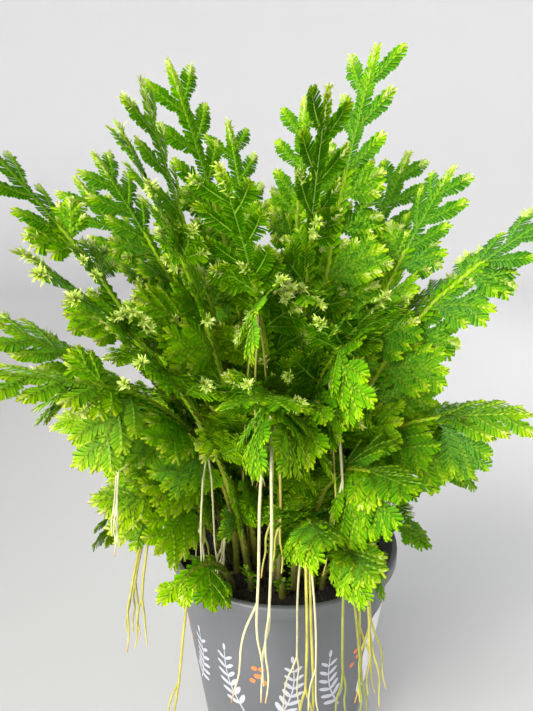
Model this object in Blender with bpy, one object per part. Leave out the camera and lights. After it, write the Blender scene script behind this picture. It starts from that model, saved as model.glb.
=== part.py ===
"""A potted spikemoss: a grey nursery pot filled with soil, leafy stems that arch out of it on all
sides, and pale aerial roots that hang from the undersides of the stems.

Metres, +Z up, +X to the right and -Y to the front. The origin is the middle of the pot's underside.
Every stem is planned by the place of its tip. Its sprays are then grown along it by rule, and a spray
that would run into another stem is lifted, lowered or shortened until it is clear."""

import math
import random
from dataclasses import dataclass
from itertools import product

import bmesh
import bpy
from mathutils import Matrix, Vector, kdtree

MM = 0.001
UP = Vector((0, 0, 1))

# Pot
POT_HEIGHT = 75 * MM
RIM_RADIUS = 40 * MM
RIM_DEPTH = 4.5 * MM
RIM_STEP = 1.9 * MM
LIP_ROUND = 0.8 * MM
BASE_RADIUS = 28.5 * MM
WALL = 1.1 * MM
BASE_WALL = 1.6 * MM
BASE_ROUND = 1.2 * MM
POT_SIDES = 36
DRAIN_COUNT = 6
DRAIN_RADIUS = 3 * MM
DRAIN_CIRCLE = 20 * MM
DRAIN_SIDES = 10

DRAIN_DEPTH = 4 * BASE_WALL

# Soil
GAP = 0.3 * MM
SOIL_DROP = 7 * MM
SOIL_SIDES = 28
SOIL_MOUND = 1.6 * MM
SOIL_LEVEL = POT_HEIGHT - SOIL_DROP
SOIL_RINGS = (0.93, 0.62, 0.3, 0.0)
HOLE_MARGIN = 1.5 * GAP

# Label stuck on the pot's right side
LABEL_BEARINGS = (321, 375)
LABEL_HEIGHTS = (24 * MM, 58 * MM)
LABEL_THICKNESS = 0.4 * MM
LABEL_STEPS = 8

# Leafy stems
STEM_STEPS = 9
STALK_STEPS = 7
STEM_SIDES = 4
STEM_FOOT_RADIUS = 1.25 * MM
STEM_TIP_RADIUS = 0.6 * MM
STEM_SUNK = 6 * MM
ROOT_INNER = 6 * MM
ROOT_OUTER = 30 * MM
ROOT_SPREAD_POWER = 0.8
ARCH_LATENESS = 1.3

# Sprays along a stem
BARE_LENGTH = 22 * MM
BARE_SHARE_LIMIT = 0.4
SPRAY_PITCH = 11.6 * MM
SPRAYS_LEAST = 4
SPRAY_STEPS = 5
SPRAY_END_SHARE = 0.73
FOOT_ANGLE = 60
TIP_ANGLE = 38
SPRAY_SAG = 0.50
SAG_ALONG_FACE = 0.35
SPRAY_RISE = 0.35
SPRAY_FALL = 0.45
SPRAY_FALL_POWER = 2.2
SPRAY_VARIATION = (0.9, 1.08)
APEX_SAG = 0.15
APEX_SHARE = STALK_STEPS / STEM_STEPS
APEX_SUNK = 0.03
LONG_SPRAY = 20 * MM
MIDDLE_SPRAY = 11 * MM

# Lobes along a spray
LOBE_ANGLE = 46
LOBE_LEADS = {1: 0.30, -1: 0.55}
LOBE_STEPS = 3
RIB_END_PITCHES = 0.6
LOBE_LONGEST = 12.5 * MM
LOBE_SHORTEST = 4 * MM
LOBE_SHARE = 0.5
LOBE_FOOT_SIZE = 1.15
LOBE_TAPER = 0.75
LOBE_VARIATION = (0.88, 1.1)
LOBE_HOOK = 0.35
LOBE_SAG = 0.15
LOBE_HALF_WIDTH = 2.9 * MM

# The solid of a spray: a rib with a leaflet for each lobe
RIB_TOP = 0.75 * MM
RIB_UNDER = 0.45 * MM
RIB_HALF_WIDTH = 0.9 * MM

# Room that sprays keep from what belongs to another stem
CLEARANCE = 2.5 * MM
SAMPLE_PITCH = 2.4 * MM
SAMPLES_ACROSS = (-0.7, 0, 0.7)
SIDE_SAMPLE_HEIGHTS = range(30, 70, 3)
SOIL_SAMPLE_RADII = range(1, 38, 3)
SAG_CHANGES = (0.0, 0.35, -0.35, 0.7, -0.7, 1.1, -1.1)
TILTS = (0, 16, -16, 32, -32)
LENGTH_SHARES = (1.0, 0.8, 0.62)

# Aerial roots
STRAND_RADIUS = 0.6 * MM
KNOT_RADIUS = 1.0 * MM
STRAND_SIDES = 3
STRAND_STEP = 9 * MM
STRAND_LEAST_STEPS = 3
STRAND_SAG = 0.7
STRAND_SWING_KEPT = 0.15
STRAND_SPREAD = 0.3
STRAND_APART = 100
STRAND_FAN = 40
STRAND_WAVE = 0.05
STRAND_WAVE_TURN = 70
STRAND_VARIATION = (0.85, 1.0)
STRAND_TRIES = 8
STRAND_ROOM_FROM = 3


@dataclass(frozen=True)
class StemPlan:
    """A leafy stem: the place of its tip, how far it arches over, and its longest spray."""

    name: str
    bearing: float  # degrees round the pot, 0 to the right and 90 to the back
    reach: float  # of the tip from the pot's axis, in millimetres
    height: float  # of the tip over the pot's rim, in millimetres
    arch: float  # degrees that the stem turns over between root and tip
    roll: float  # degrees that the spray's face is rolled about the stem
    spread: float  # length of the longest spray, in millimetres


@dataclass(frozen=True)
class RootPlan:
    """A cluster of aerial roots: the stem that it hangs from, where, how long, and its strands."""

    name: str
    stem: str
    reach: float  # of its start from the pot's axis, in millimetres
    length: float  # in millimetres
    strands: int
    swing: float  # how far it first swings outwards, as a share of straight down
    lean: float  # the bearing that its strands lean to, in degrees


STEMS = (
    StemPlan("stem_front", 264, 76, 70, 125, 0, 27),
    StemPlan("stem_right_low", 297, 67, 44, 125, 8, 25),
    StemPlan("stem_right_hanging", 335, 74, 52, 122, 20, 24),
    StemPlan("stem_right_arching", 350, 88, 114, 72, 30, 27),
    StemPlan("stem_left_low", 218, 92, 72, 100, -15, 28),
    StemPlan("stem_left_hanging", 209, 66, 27, 112, -20, 27),
    StemPlan("stem_left_middle", 202, 86, 82, 60, -25, 27),
    StemPlan("stem_left_high", 186, 92, 136, 30, -25, 27),
    StemPlan("stem_left_near", 226, 84, 104, 50, -15, 26),
    StemPlan("stem_front_left_drop", 231, 55, 4, 130, -10, 17),
    StemPlan("stem_front_drop", 278, 59, 30, 120, 0, 18),
    StemPlan("stem_front_right_drop", 290, 62, 20, 120, 15, 20),
    StemPlan("stem_centre_near", 249, 48, 120, 60, 0, 26),
    StemPlan("stem_centre_near_right", 292, 60, 92, 85, 5, 26),
    StemPlan("stem_top_right", 12, 28, 160, 18, 40, 27),
    StemPlan("stem_top_left", 164, 38, 154, 26, -40, 24),
    StemPlan("stem_top_near", 300, 20, 144, 14, 10, 24),
    StemPlan("stem_crown_left", 194, 46, 146, 22, -30, 25),
    StemPlan("stem_crown_near_left", 222, 56, 134, 26, -20, 25),
    StemPlan("stem_crown_right", 4, 54, 128, 30, 35, 26),
    StemPlan("stem_crown_back_right", 36, 56, 132, 30, 25, 25),
    StemPlan("stem_upper_left", 168, 66, 132, 35, -30, 25),
    StemPlan("stem_upper_left_back", 152, 88, 122, 40, -20, 26),
    StemPlan("stem_back_top", 80, 48, 150, 30, 0, 25),
    StemPlan("stem_back_top_left", 112, 54, 140, 32, 0, 25),
    StemPlan("stem_right_rim", 2, 50, -2, 125, 20, 14),
    StemPlan("stem_right_back_low", 26, 92, 12, 90, 15, 27),
    StemPlan("stem_right_back", 44, 96, 56, 70, 15, 27),
    StemPlan("stem_left_back_low", 166, 88, 34, 85, -15, 25),
    StemPlan("stem_back_left_middle", 132, 90, 72, 65, -5, 27),
    StemPlan("stem_back_middle", 88, 88, 84, 65, 0, 27),
    StemPlan("stem_back_right_high", 60, 86, 104, 50, 5, 27),
    StemPlan("stem_back_low_right", 66, 82, 22, 95, 5, 26),
    StemPlan("stem_back_low_left", 107, 84, 27, 90, -5, 26),
)

ROOTS = (
    RootPlan("roots_front_pale", "stem_front", 45, 98, 2, 0.3, 225),
    RootPlan("roots_front_olive", "stem_front_drop", 48, 86, 2, 0.3, 280),
    RootPlan("roots_front_right", "stem_front_right_drop", 43, 62, 2, 0.5, 310),
    RootPlan("roots_right_pale", "stem_centre_near_right", 41, 60, 1, 0.5, 300),
    RootPlan("roots_right_rim", "stem_right_low", 43, 78, 3, 0.4, 330),
    RootPlan("roots_left_rim", "stem_left_hanging", 43, 58, 3, 0.5, 200),
    RootPlan("roots_left_inner", "stem_left_near", 24, 60, 2, 0.1, 215),
    RootPlan("roots_left_long", "stem_front_left_drop", 43, 56, 1, 0.5, 230),
    RootPlan("roots_inner_left", "stem_left_middle", 24, 60, 2, 0.0, 200),
    RootPlan("roots_inner_front", "stem_front", 29, 60, 2, 0.1, 260),
    RootPlan("roots_back_left", "stem_back_left_middle", 48, 70, 2, 0.4, 130),
    RootPlan("roots_back_right", "stem_right_back", 48, 70, 2, 0.4, 50),
)


@dataclass(frozen=True)
class Station:
    """A place on a stem or spray: where it is, which way it heads, and the way its upper face looks."""

    at: Vector
    heading: Vector
    face: Vector

    @property
    def side(self):
        """The direction to the left of the heading, across the face."""
        return self.face.cross(self.heading)


@dataclass(frozen=True)
class Spray:
    """A flat side branch: its rib, and its lobes as (share of the rib, side, line)."""

    rib: list
    lobes: list


def polar(bearing, radius, height=0.0):
    """The point at a bearing in degrees and a radius round the pot's axis."""
    angle = math.radians(bearing)
    return Vector((radius * math.cos(angle), radius * math.sin(angle), height))


def upright_to(face, heading):
    """The face, turned square to the heading."""
    return (face - heading * face.dot(heading)).normalized()


def mixed(line, share):
    """The station at a share of a line's length, between its neighbours."""
    place = min(max(share, 0.0), 1.0) * (len(line) - 1)
    index = min(int(place), len(line) - 2)
    part = place - index
    first, second = line[index], line[index + 1]
    heading = first.heading.lerp(second.heading, part).normalized()
    face = upright_to(first.face.lerp(second.face, part), heading)
    return Station(first.at.lerp(second.at, part), heading, face)


def grow(start, length, steps, pull):
    """The stations of a line that grows from start and bends by the pull over its whole length."""
    line = [start]
    for _ in range(steps):
        last = line[-1]
        heading = (last.heading + pull / steps).normalized()
        at = last.at + heading * (length / steps)
        line.append(Station(at, heading, upright_to(last.face, heading)))
    return line


def root_place(plan):
    """Where a stem leaves the soil: the more upright it stands, the nearer to the middle of the pot."""
    rise = math.atan2(plan.height * MM + SOIL_DROP, max(plan.reach * MM - ROOT_INNER, MM))
    upright = max(rise, 0) / (math.pi / 2)
    spread = (ROOT_OUTER - ROOT_INNER) * (1 - upright) ** ROOT_SPREAD_POWER
    return polar(plan.bearing, ROOT_INNER + spread, SOIL_LEVEL)


def stem_line(plan):
    """The stations of a stem, which turns over in its upright plane, later rather than sooner."""
    root = root_place(plan)
    tip = polar(plan.bearing, plan.reach * MM, POT_HEIGHT + plan.height * MM)
    chord = tip - root
    across = UP.cross(polar(plan.bearing, 1))
    along = chord.normalized()
    over = along.cross(across)
    headings = []
    for step in range(STEM_STEPS):
        turned = ((step + 0.5) / STEM_STEPS) ** ARCH_LATENESS
        tilt = math.radians(plan.arch) * (0.5 - turned)
        headings.append(along * math.cos(tilt) + over * math.sin(tilt))
    reached = sum(headings, Vector())
    turn = reached.rotation_difference(chord)
    step_length = chord.length / reached.length
    points = [root]
    for heading in headings:
        points.append(points[-1] + turn @ heading * step_length)
    stations = []
    for index, point in enumerate(points):
        before, after = points[max(index - 1, 0)], points[min(index + 1, len(points) - 1)]
        heading = (after - before).normalized()
        face = Matrix.Rotation(math.radians(plan.roll), 3, heading) @ heading.cross(across)
        stations.append(Station(point, heading, upright_to(face, heading)))
    return stations


def line_length(line):
    """The length of a line of stations."""
    return sum((b.at - a.at).length for a, b in zip(line, line[1:]))


def turned_aside(station, angle, side):
    """A station that heads off to one side of another, in its face, by an angle in degrees."""
    turn = math.radians(angle)
    heading = station.heading * math.cos(turn) + station.side * side * math.sin(turn)
    return Station(station.at, heading.normalized(), station.face)


def grown_spray(start, length, sag, rng):
    """A spray with its lobes in pairs, the left one of each pair a little ahead of the right."""
    pull = start.face * (-SAG_ALONG_FACE * sag) - UP * ((1 - SAG_ALONG_FACE) * sag)
    rib = grow(start, length, SPRAY_STEPS, pull)
    pairs = 3 if length >= LONG_SPRAY else 2 if length >= MIDDLE_SPRAY else 1
    lobes = []
    for pair, side in product(range(pairs), LOBE_LEADS):
        share = (pair + LOBE_LEADS[side]) / (pairs + RIB_END_PITCHES)
        size = LOBE_SHARE * (LOBE_FOOT_SIZE - LOBE_TAPER * share) * rng.uniform(*LOBE_VARIATION)
        lobe_length = min(max(length * size, LOBE_SHORTEST), LOBE_LONGEST)
        begin = mixed(rib, share)
        pull = begin.heading * LOBE_HOOK - (begin.face + UP) * (LOBE_SAG / 2)
        line = grow(turned_aside(begin, LOBE_ANGLE, side), lobe_length, LOBE_STEPS, pull)
        lobes.append((share, side, line))
    return Spray(rib, lobes)


def spray_samples(spray):
    """Points spread over a spray, close enough together that nothing passes between them."""
    points = []
    for line in [spray.rib] + [line for _, _, line in spray.lobes]:
        count = max(2, math.ceil(line_length(line) / SAMPLE_PITCH))
        for step in range(count + 1):
            station = mixed(line, step / count)
            reach = station.side * LOBE_HALF_WIDTH
            points += [station.at + reach * across for across in SAMPLES_ACROSS]
    return points


def line_stations(line):
    """Stations close together along the middle of a stem or root."""
    count = math.ceil(line_length(line) / SAMPLE_PITCH)
    return [mixed(line, step / count) for step in range(count + 1)]


def line_samples(line):
    """The points of the stations along the middle of a stem or root."""
    return [station.at for station in line_stations(line)]


def pot_samples():
    """Points on the soil, the rim and the pot's side, which sprays keep clear of."""
    rings = [(RIM_RADIUS, POT_HEIGHT), (RIM_RADIUS, POT_HEIGHT - RIM_DEPTH)]
    rings += [(RIM_RADIUS - RIM_STEP, height * MM) for height in SIDE_SAMPLE_HEIGHTS]
    rings += [(radius * MM, SOIL_LEVEL + SOIL_MOUND / 2) for radius in SOIL_SAMPLE_RADII]
    points = []
    for radius, height in rings:
        count = max(4, math.ceil(2 * math.pi * radius / SAMPLE_PITCH))
        points += [polar(360 * step / count, radius, height) for step in range(count)]
    return points


class Crowd:
    """The points that belong to each owner, and whether a new piece keeps clear of the others'."""

    def __init__(self):
        self.points = []
        self.owners = []
        self.tree = None

    def add(self, owner, points):
        """Takes in an owner's points."""
        self.points += points
        self.owners += [owner] * len(points)
        self.tree = kdtree.KDTree(len(self.points))
        for index, point in enumerate(self.points):
            self.tree.insert(point, index)
        self.tree.balance()

    def is_clear(self, owner, points):
        """True if no other owner's point lies within the clearance of these points."""
        return not any(
            self.owners[index] != owner
            for point in points
            for _, index, _ in self.tree.find_range(point, CLEARANCE)
        )

    def room(self, points):
        """The distance from these points to the nearest point that is already taken."""
        return min(self.tree.find(point)[2] for point in points)


def spray_shares(stem):
    """The shares of a stem's length at which its sprays start, from the lowest up."""
    length = line_length(stem)
    bare = min(BARE_LENGTH / length, BARE_SHARE_LIMIT)
    leafy = length * SPRAY_END_SHARE - bare * length
    count = max(SPRAYS_LEAST, round(leafy / SPRAY_PITCH))
    return [bare + (SPRAY_END_SHARE - bare) * index / (count - 1) for index in range(count)]


def spray_starts(stem):
    """Where the sprays of a stem start and where they head, as (station, share of the leafy length)."""
    shares = spray_shares(stem)
    starts = []
    for index, share in enumerate(shares):
        leafy = index / (len(shares) - 1)
        angle = FOOT_ANGLE + (TIP_ANGLE - FOOT_ANGLE) * leafy
        starts.append((turned_aside(mixed(stem, share), angle, 1 if index % 2 else -1), leafy))
    return starts


def tilted(start, axis, angle):
    """A spray's start, turned about its stem by an angle in degrees."""
    turn = Matrix.Rotation(math.radians(angle), 3, axis)
    return Station(start.at, turn @ start.heading, turn @ start.face)


def spray_length(plan, leafy):
    """The length of a spray: short at the foot of the stem, longest near its middle, short at the tip."""
    rise = math.sin(math.pi / 2 * min(leafy / SPRAY_RISE + SPRAY_RISE, 1))
    return plan.spread * MM * rise * (1 - SPRAY_FALL * leafy**SPRAY_FALL_POWER)


def clear_sprays(plan, stem, crowd):
    """The sprays of a stem, each bent, tilted or shortened until it clears every other stem, or left out."""
    rng = random.Random(plan.name)
    tip = mixed(stem, APEX_SHARE - APEX_SUNK)
    starts = [(start, spray_length(plan, leafy), SPRAY_SAG) for start, leafy in spray_starts(stem)]
    starts.append((tip, line_length(stem) * (1 - APEX_SHARE + APEX_SUNK), APEX_SAG))
    sprays = []
    for start, length, sag in starts:
        length *= rng.uniform(*SPRAY_VARIATION)
        seed = rng.random()
        axis = start.heading.lerp(tip.heading, 0.5).normalized()
        for share, tilt, change in product(LENGTH_SHARES, TILTS, SAG_CHANGES):
            turned_start = tilted(start, axis, tilt)
            spray = grown_spray(turned_start, length * share, sag + change, random.Random(seed))
            if crowd.is_clear(plan.name, spray_samples(spray)):
                sprays.append(spray)
                break
    return sprays


def strand_line(start, length, swing, rng):
    """A strand that leaves a stem, swings a little and hangs."""
    if math.hypot(start.at.x, start.at.y) < RIM_RADIUS - RIM_STEP:
        length = min(length, start.at.z - SOIL_LEVEL - 2 * SOIL_MOUND)
    steps = max(STRAND_LEAST_STEPS, round(length / STRAND_STEP))
    line = [start]
    outward = Vector((start.at.x, start.at.y, 0)).normalized()
    sway = rng.uniform(0, 360)
    for step in range(steps):
        last = line[-1]
        wave = polar(sway + STRAND_WAVE_TURN * step, STRAND_WAVE)
        pull = outward * (swing * STRAND_SWING_KEPT) - UP * STRAND_SAG + wave
        heading = (last.heading + pull).normalized()
        at = last.at + heading * (length / steps)
        line.append(Station(at, heading, upright_to(last.face, heading)))
    return line


def clear_strands(plan, stem, crowd):
    """The strands of a root cluster, which leave one place under its stem and find their room."""
    rng = random.Random(plan.name)
    shares = spray_shares(stem)
    between = [(low + high) / 2 for low, high in zip(shares, shares[1:])]
    reach = {share: math.hypot(*mixed(stem, share).at.xy) for share in between}
    share = min(between, key=lambda place: abs(reach[place] - plan.reach * MM))
    at = mixed(stem, share)
    underside = stem_radius(share) * math.cos(math.pi / STEM_SIDES)
    below = at.at - at.face * (underside + KNOT_RADIUS + GAP)
    strands = []
    for index in range(plan.strands):
        bearing = plan.lean + STRAND_APART * (index - (plan.strands - 1) / 2)
        tries = []
        for _ in range(STRAND_TRIES):
            lean = polar(bearing + rng.uniform(-STRAND_FAN, STRAND_FAN), STRAND_SPREAD)
            heading = (-UP + at.heading * plan.swing + lean).normalized()
            start = Station(below, heading, upright_to(at.heading, heading))
            length = plan.length * MM * rng.uniform(*STRAND_VARIATION)
            tries.append(strand_line(start, length, plan.swing, rng))
        strands.append(max(tries, key=lambda strand: crowd.room(line_samples(strand)[STRAND_ROOM_FROM:])))
    return strands


def new_object(name, bm, material):
    """A named object of a finished bmesh, with its material."""
    mesh = bpy.data.meshes.new(name)
    bm.to_mesh(mesh)
    bm.free()
    mesh.materials.append(material)
    made = bpy.data.objects.new(name, mesh)
    bpy.context.scene.collection.objects.link(made)
    return made


def new_material(name, colour, roughness):
    """A plain Principled material."""
    material = bpy.data.materials.new(name)
    material.use_nodes = True
    shader = material.node_tree.nodes["Principled BSDF"]
    shader.inputs["Base Color"].default_value = (*colour, 1)
    shader.inputs["Roughness"].default_value = roughness
    shader.inputs["Metallic"].default_value = 0
    return material


def tube(bm, line, radii, sides):
    """A closed tube along a line of stations, with a radius for each station."""
    rings = []
    for station, radius in zip(line, radii):
        ring = []
        for corner in range(sides):
            angle = 2 * math.pi * (corner + 0.5) / sides
            out = station.face * math.cos(angle) + station.side * math.sin(angle)
            ring.append(bm.verts.new(station.at + out * radius))
        rings.append(ring)
    for ring, following in zip(rings, rings[1:]):
        for corner in range(sides):
            beside = (corner + 1) % sides
            bm.faces.new((ring[corner], ring[beside], following[beside], following[corner]))
    bm.faces.new(rings[0])
    bm.faces.new(rings[-1])
    bmesh.ops.recalc_face_normals(bm, faces=bm.faces)


def leaflet_blade(bm, spray):
    """The solid of a spray: a rib, ridged above and flat below, with a leaflet to the tip of each lobe."""
    left = [line[-1].at for _, side, line in spray.lobes if side > 0]
    right = [line[-1].at for _, side, line in spray.lobes if side < 0]
    pairs = len(left)
    rib = [mixed(spray.rib, index / (pairs + 0.6)) for index in range(pairs + 1)]
    top = [bm.verts.new(s.at + s.face * RIB_TOP) for s in rib]
    edges = [
        [bm.verts.new(s.at - s.face * RIB_UNDER + s.side * (side * RIB_HALF_WIDTH)) for s in rib]
        for side in (1, -1)
    ]
    for index in range(pairs):
        after = index + 1
        for edge, tips, side in ((edges[0], left, 1), (edges[1], right, -1)):
            tip = bm.verts.new(tips[index])
            fan = (
                (top[index], top[after], tip),
                (top[after], edge[after], tip),
                (edge[index], top[index], tip),
                (edge[after], edge[index], tip),
            )
            for corners in fan:
                bm.faces.new(corners if side > 0 else reversed(corners))
        bm.faces.new((edges[0][index], edges[0][after], edges[1][after], edges[1][index]))
    end = bm.verts.new(spray.rib[-1].at)
    bm.faces.new((top[-1], end, edges[0][-1]))
    bm.faces.new((edges[1][-1], end, top[-1]))
    bm.faces.new((edges[0][-1], end, edges[1][-1]))
    bm.faces.new((edges[0][0], edges[1][0], top[0]))
    bmesh.ops.recalc_face_normals(bm, faces=bm.faces)


def joined(name, pieces, material):
    """One object: the Boolean union of closed pieces, which are then removed."""
    base, *others = [new_object(f"{name}_piece", piece, material) for piece in pieces]
    group = bpy.data.collections.new(f"{name}_pieces")
    bpy.context.scene.collection.children.link(group)
    for other in others:
        bpy.context.scene.collection.objects.unlink(other)
        group.objects.link(other)
    union = base.modifiers.new("union", "BOOLEAN")
    union.operation = "UNION"
    union.solver = "MANIFOLD"
    union.operand_type = "COLLECTION"
    union.collection = group
    bpy.context.view_layer.update()
    graph = bpy.context.evaluated_depsgraph_get()
    mesh = bpy.data.meshes.new_from_object(base.evaluated_get(graph))
    for piece in [base, *others]:
        bpy.data.objects.remove(piece)
    bpy.data.collections.remove(group)
    mesh.name = name
    made = bpy.data.objects.new(name, mesh)
    bpy.context.scene.collection.objects.link(made)
    return made


def sunk(line, depth):
    """The line with a station added below its start, along its first heading."""
    first = line[0]
    return [Station(first.at - first.heading * depth, first.heading, first.face), *line]


def stem_radius(share):
    """The radius of a stem's stalk at a share of the stem's length."""
    return STEM_FOOT_RADIUS + (STEM_TIP_RADIUS - STEM_FOOT_RADIUS) * min(share / APEX_SHARE, 1)


def build_stem(plan, stem, sprays, material):
    """A leafy stem: its stalk, and every spray sunk into it."""
    stalk = sunk(stem[: STALK_STEPS + 1], STEM_SUNK)
    radii = [stem_radius(step / STEM_STEPS) for step in range(STALK_STEPS + 1)]
    pieces = [bmesh.new()]
    tube(pieces[0], stalk, [STEM_FOOT_RADIUS, *radii], STEM_SIDES)
    for spray in sprays:
        pieces.append(bmesh.new())
        leaflet_blade(pieces[-1], spray)
    return joined(plan.name, pieces, material)


def build_roots(plan, strands, material):
    """A cluster of aerial roots that leave one knot under their stem."""
    knot = bmesh.new()
    place = Matrix.Translation(strands[0][0].at)
    bmesh.ops.create_icosphere(knot, subdivisions=1, radius=KNOT_RADIUS, matrix=place)
    pieces = [knot]
    for strand in strands:
        pieces.append(bmesh.new())
        tube(pieces[-1], strand, [STRAND_RADIUS] * len(strand), STRAND_SIDES)
    return joined(plan.name, pieces, material)


def turned(profile, sides):
    """A closed profile of (radius, height) turned round the pot's axis."""
    bm = bmesh.new()
    rings = []
    for radius, height in profile:
        if radius == 0:
            rings.append([bm.verts.new((0, 0, height))])
        else:
            rings.append([bm.verts.new(polar(360 * step / sides, radius, height)) for step in range(sides)])
    for first, second in zip(rings, rings[1:]):
        for step in range(sides):
            beside = (step + 1) % sides
            corners = [first[step % len(first)], first[beside % len(first)]]
            corners += [second[beside % len(second)], second[step % len(second)]]
            bm.faces.new(list(dict.fromkeys(corners)))
    bmesh.ops.recalc_face_normals(bm, faces=bm.faces)
    return bm


def side_radius(height):
    """The outer radius of the pot's side at a height."""
    under_rim = RIM_RADIUS - RIM_STEP
    return BASE_RADIUS + (under_rim - BASE_RADIUS) * height / (POT_HEIGHT - RIM_DEPTH)


def pot_profile():
    """The pot's section, from the middle of its underside up the outside and down the inside."""
    under_rim = POT_HEIGHT - RIM_DEPTH
    return (
        (0, 0),
        (BASE_RADIUS - BASE_ROUND, 0),
        (side_radius(BASE_ROUND), BASE_ROUND),
        (side_radius(under_rim), under_rim),
        (RIM_RADIUS, under_rim + LIP_ROUND),
        (RIM_RADIUS, POT_HEIGHT - LIP_ROUND),
        (RIM_RADIUS - LIP_ROUND / 2, POT_HEIGHT),
        (RIM_RADIUS - RIM_STEP + LIP_ROUND / 2, POT_HEIGHT),
        (RIM_RADIUS - RIM_STEP, POT_HEIGHT - LIP_ROUND),
        (side_radius(under_rim) - WALL, under_rim - WALL),
        (side_radius(BASE_WALL) - WALL, BASE_WALL),
        (0, BASE_WALL),
    )


def build_pot(material):
    """The pot, with drain holes through its base."""
    pot = new_object("pot", turned(pot_profile(), POT_SIDES), material)
    cutters = bmesh.new()
    for index in range(DRAIN_COUNT):
        place = Matrix.Translation(polar(360 * (index + 0.5) / DRAIN_COUNT, DRAIN_CIRCLE, BASE_WALL / 2))
        bmesh.ops.create_cone(
            cutters, cap_ends=True, segments=DRAIN_SIDES, radius1=DRAIN_RADIUS, radius2=DRAIN_RADIUS,
            depth=DRAIN_DEPTH, matrix=place,
        )
    cut(pot, new_object("drain_cutters", cutters, material))
    return pot


def cut(target, cutter):
    """Cuts one object from another for good, and removes the cutter."""
    difference = target.modifiers.new("cut", "BOOLEAN")
    difference.operation = "DIFFERENCE"
    difference.solver = "MANIFOLD"
    difference.object = cutter
    bpy.context.view_layer.update()
    mesh = bpy.data.meshes.new_from_object(target.evaluated_get(bpy.context.evaluated_depsgraph_get()))
    target.modifiers.clear()
    target.data = mesh
    bpy.data.objects.remove(cutter)


def build_soil(stems, material):
    """The soil, which fills the pot to a little under the rim, mounds up, and has a hole for each stem."""
    foot = BASE_WALL + GAP
    rings = [(0, foot), (side_radius(foot) - WALL - GAP, foot)]
    shoulder = side_radius(SOIL_LEVEL) - WALL - GAP
    rings += [(shoulder, SOIL_LEVEL - SOIL_MOUND)]
    for share in SOIL_RINGS:
        rise = SOIL_MOUND * (1 - share**2)
        rings.append((shoulder * share, SOIL_LEVEL - SOIL_MOUND / 2 + rise))
    soil = new_object("soil", turned(rings, SOIL_SIDES), material)
    for stem in stems:
        hole = bmesh.new()
        first = stem[0]
        shaft = [
            Station(first.at - first.heading * (STEM_SUNK + GAP), first.heading, first.face),
            Station(first.at, first.heading, first.face),
            stem[1],
        ]
        tube(hole, shaft, [STEM_FOOT_RADIUS + HOLE_MARGIN] * len(shaft), STEM_SIDES)
        cut(soil, new_object("stem_hole", hole, material))
    return soil


def build_label(material):
    """The blank label: a thin patch that follows the pot's side."""
    bm = bmesh.new()
    corners = []
    for height in LABEL_HEIGHTS:
        for out in (GAP, GAP + LABEL_THICKNESS):
            row = []
            for step in range(LABEL_STEPS + 1):
                first, last = LABEL_BEARINGS
                bearing = first + (last - first) * step / LABEL_STEPS
                row.append(bm.verts.new(polar(bearing, side_radius(height) + out, height)))
            corners.append(row)
    low_in, low_out, high_in, high_out = corners
    for first, second in ((low_out, high_out), (high_out, high_in), (high_in, low_in), (low_in, low_out)):
        for step in range(LABEL_STEPS):
            bm.faces.new((first[step], first[step + 1], second[step + 1], second[step]))
    for end in (0, LABEL_STEPS):
        bm.faces.new((low_in[end], low_out[end], high_out[end], high_in[end]))
    bmesh.ops.recalc_face_normals(bm, faces=bm.faces)
    return new_object("label", bm, material)


def planned_growth():
    """Every stem, root cluster and spray, in the order in which they take up their room."""
    stems = {plan.name: stem_line(plan) for plan in STEMS}
    crowd = Crowd()
    crowd.add("pot", pot_samples())
    for name, line in stems.items():
        crowd.add(name, line_samples(line))
    roots = {}
    for plan in ROOTS:
        roots[plan.name] = clear_strands(plan, stems[plan.stem], crowd)
        crowd.add(plan.name, [point for strand in roots[plan.name] for point in line_samples(strand)])
    sprays = {}
    for plan in STEMS:
        sprays[plan.name] = clear_sprays(plan, stems[plan.name], crowd)
        crowd.add(plan.name, [point for spray in sprays[plan.name] for point in spray_samples(spray)])
    return stems, roots, sprays


def main():
    """Builds every piece of the potted plant."""
    for old in list(bpy.data.objects):
        bpy.data.objects.remove(old)
    plastic = new_material("pot_plastic", (0.36, 0.38, 0.43), 0.42)
    peat = new_material("soil", (0.02, 0.016, 0.013), 0.95)
    paper = new_material("label_paper", (0.82, 0.82, 0.86), 0.5)
    leaf = new_material("leaf", (0.08, 0.3, 0.03), 0.45)
    root = new_material("aerial_root", (0.62, 0.6, 0.28), 0.5)
    stems, roots, sprays = planned_growth()
    build_pot(plastic)
    build_soil(stems.values(), peat)
    build_label(paper)
    for plan in STEMS:
        build_stem(plan, stems[plan.name], sprays[plan.name], leaf)
    for plan in ROOTS:
        build_roots(plan, roots[plan.name], root)


main()
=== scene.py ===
"""The looks of a potted spikemoss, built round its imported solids.

Metres, +Z up, +X to the right and -Y to the front. The origin is the middle of the pot's underside. The
stems, sprays and aerial roots grow here by the same rules and from the same plans as the solids, so that the
fine leaves sit where the solids are. Side sprays that the solids leave out fill the gaps between them."""

import logging
import math
import random
from dataclasses import dataclass, field, replace
from enum import Enum
from functools import cached_property
from itertools import product

import bmesh
import bpy
import numpy as np
from mathutils import Matrix, Vector, kdtree, noise


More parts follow.
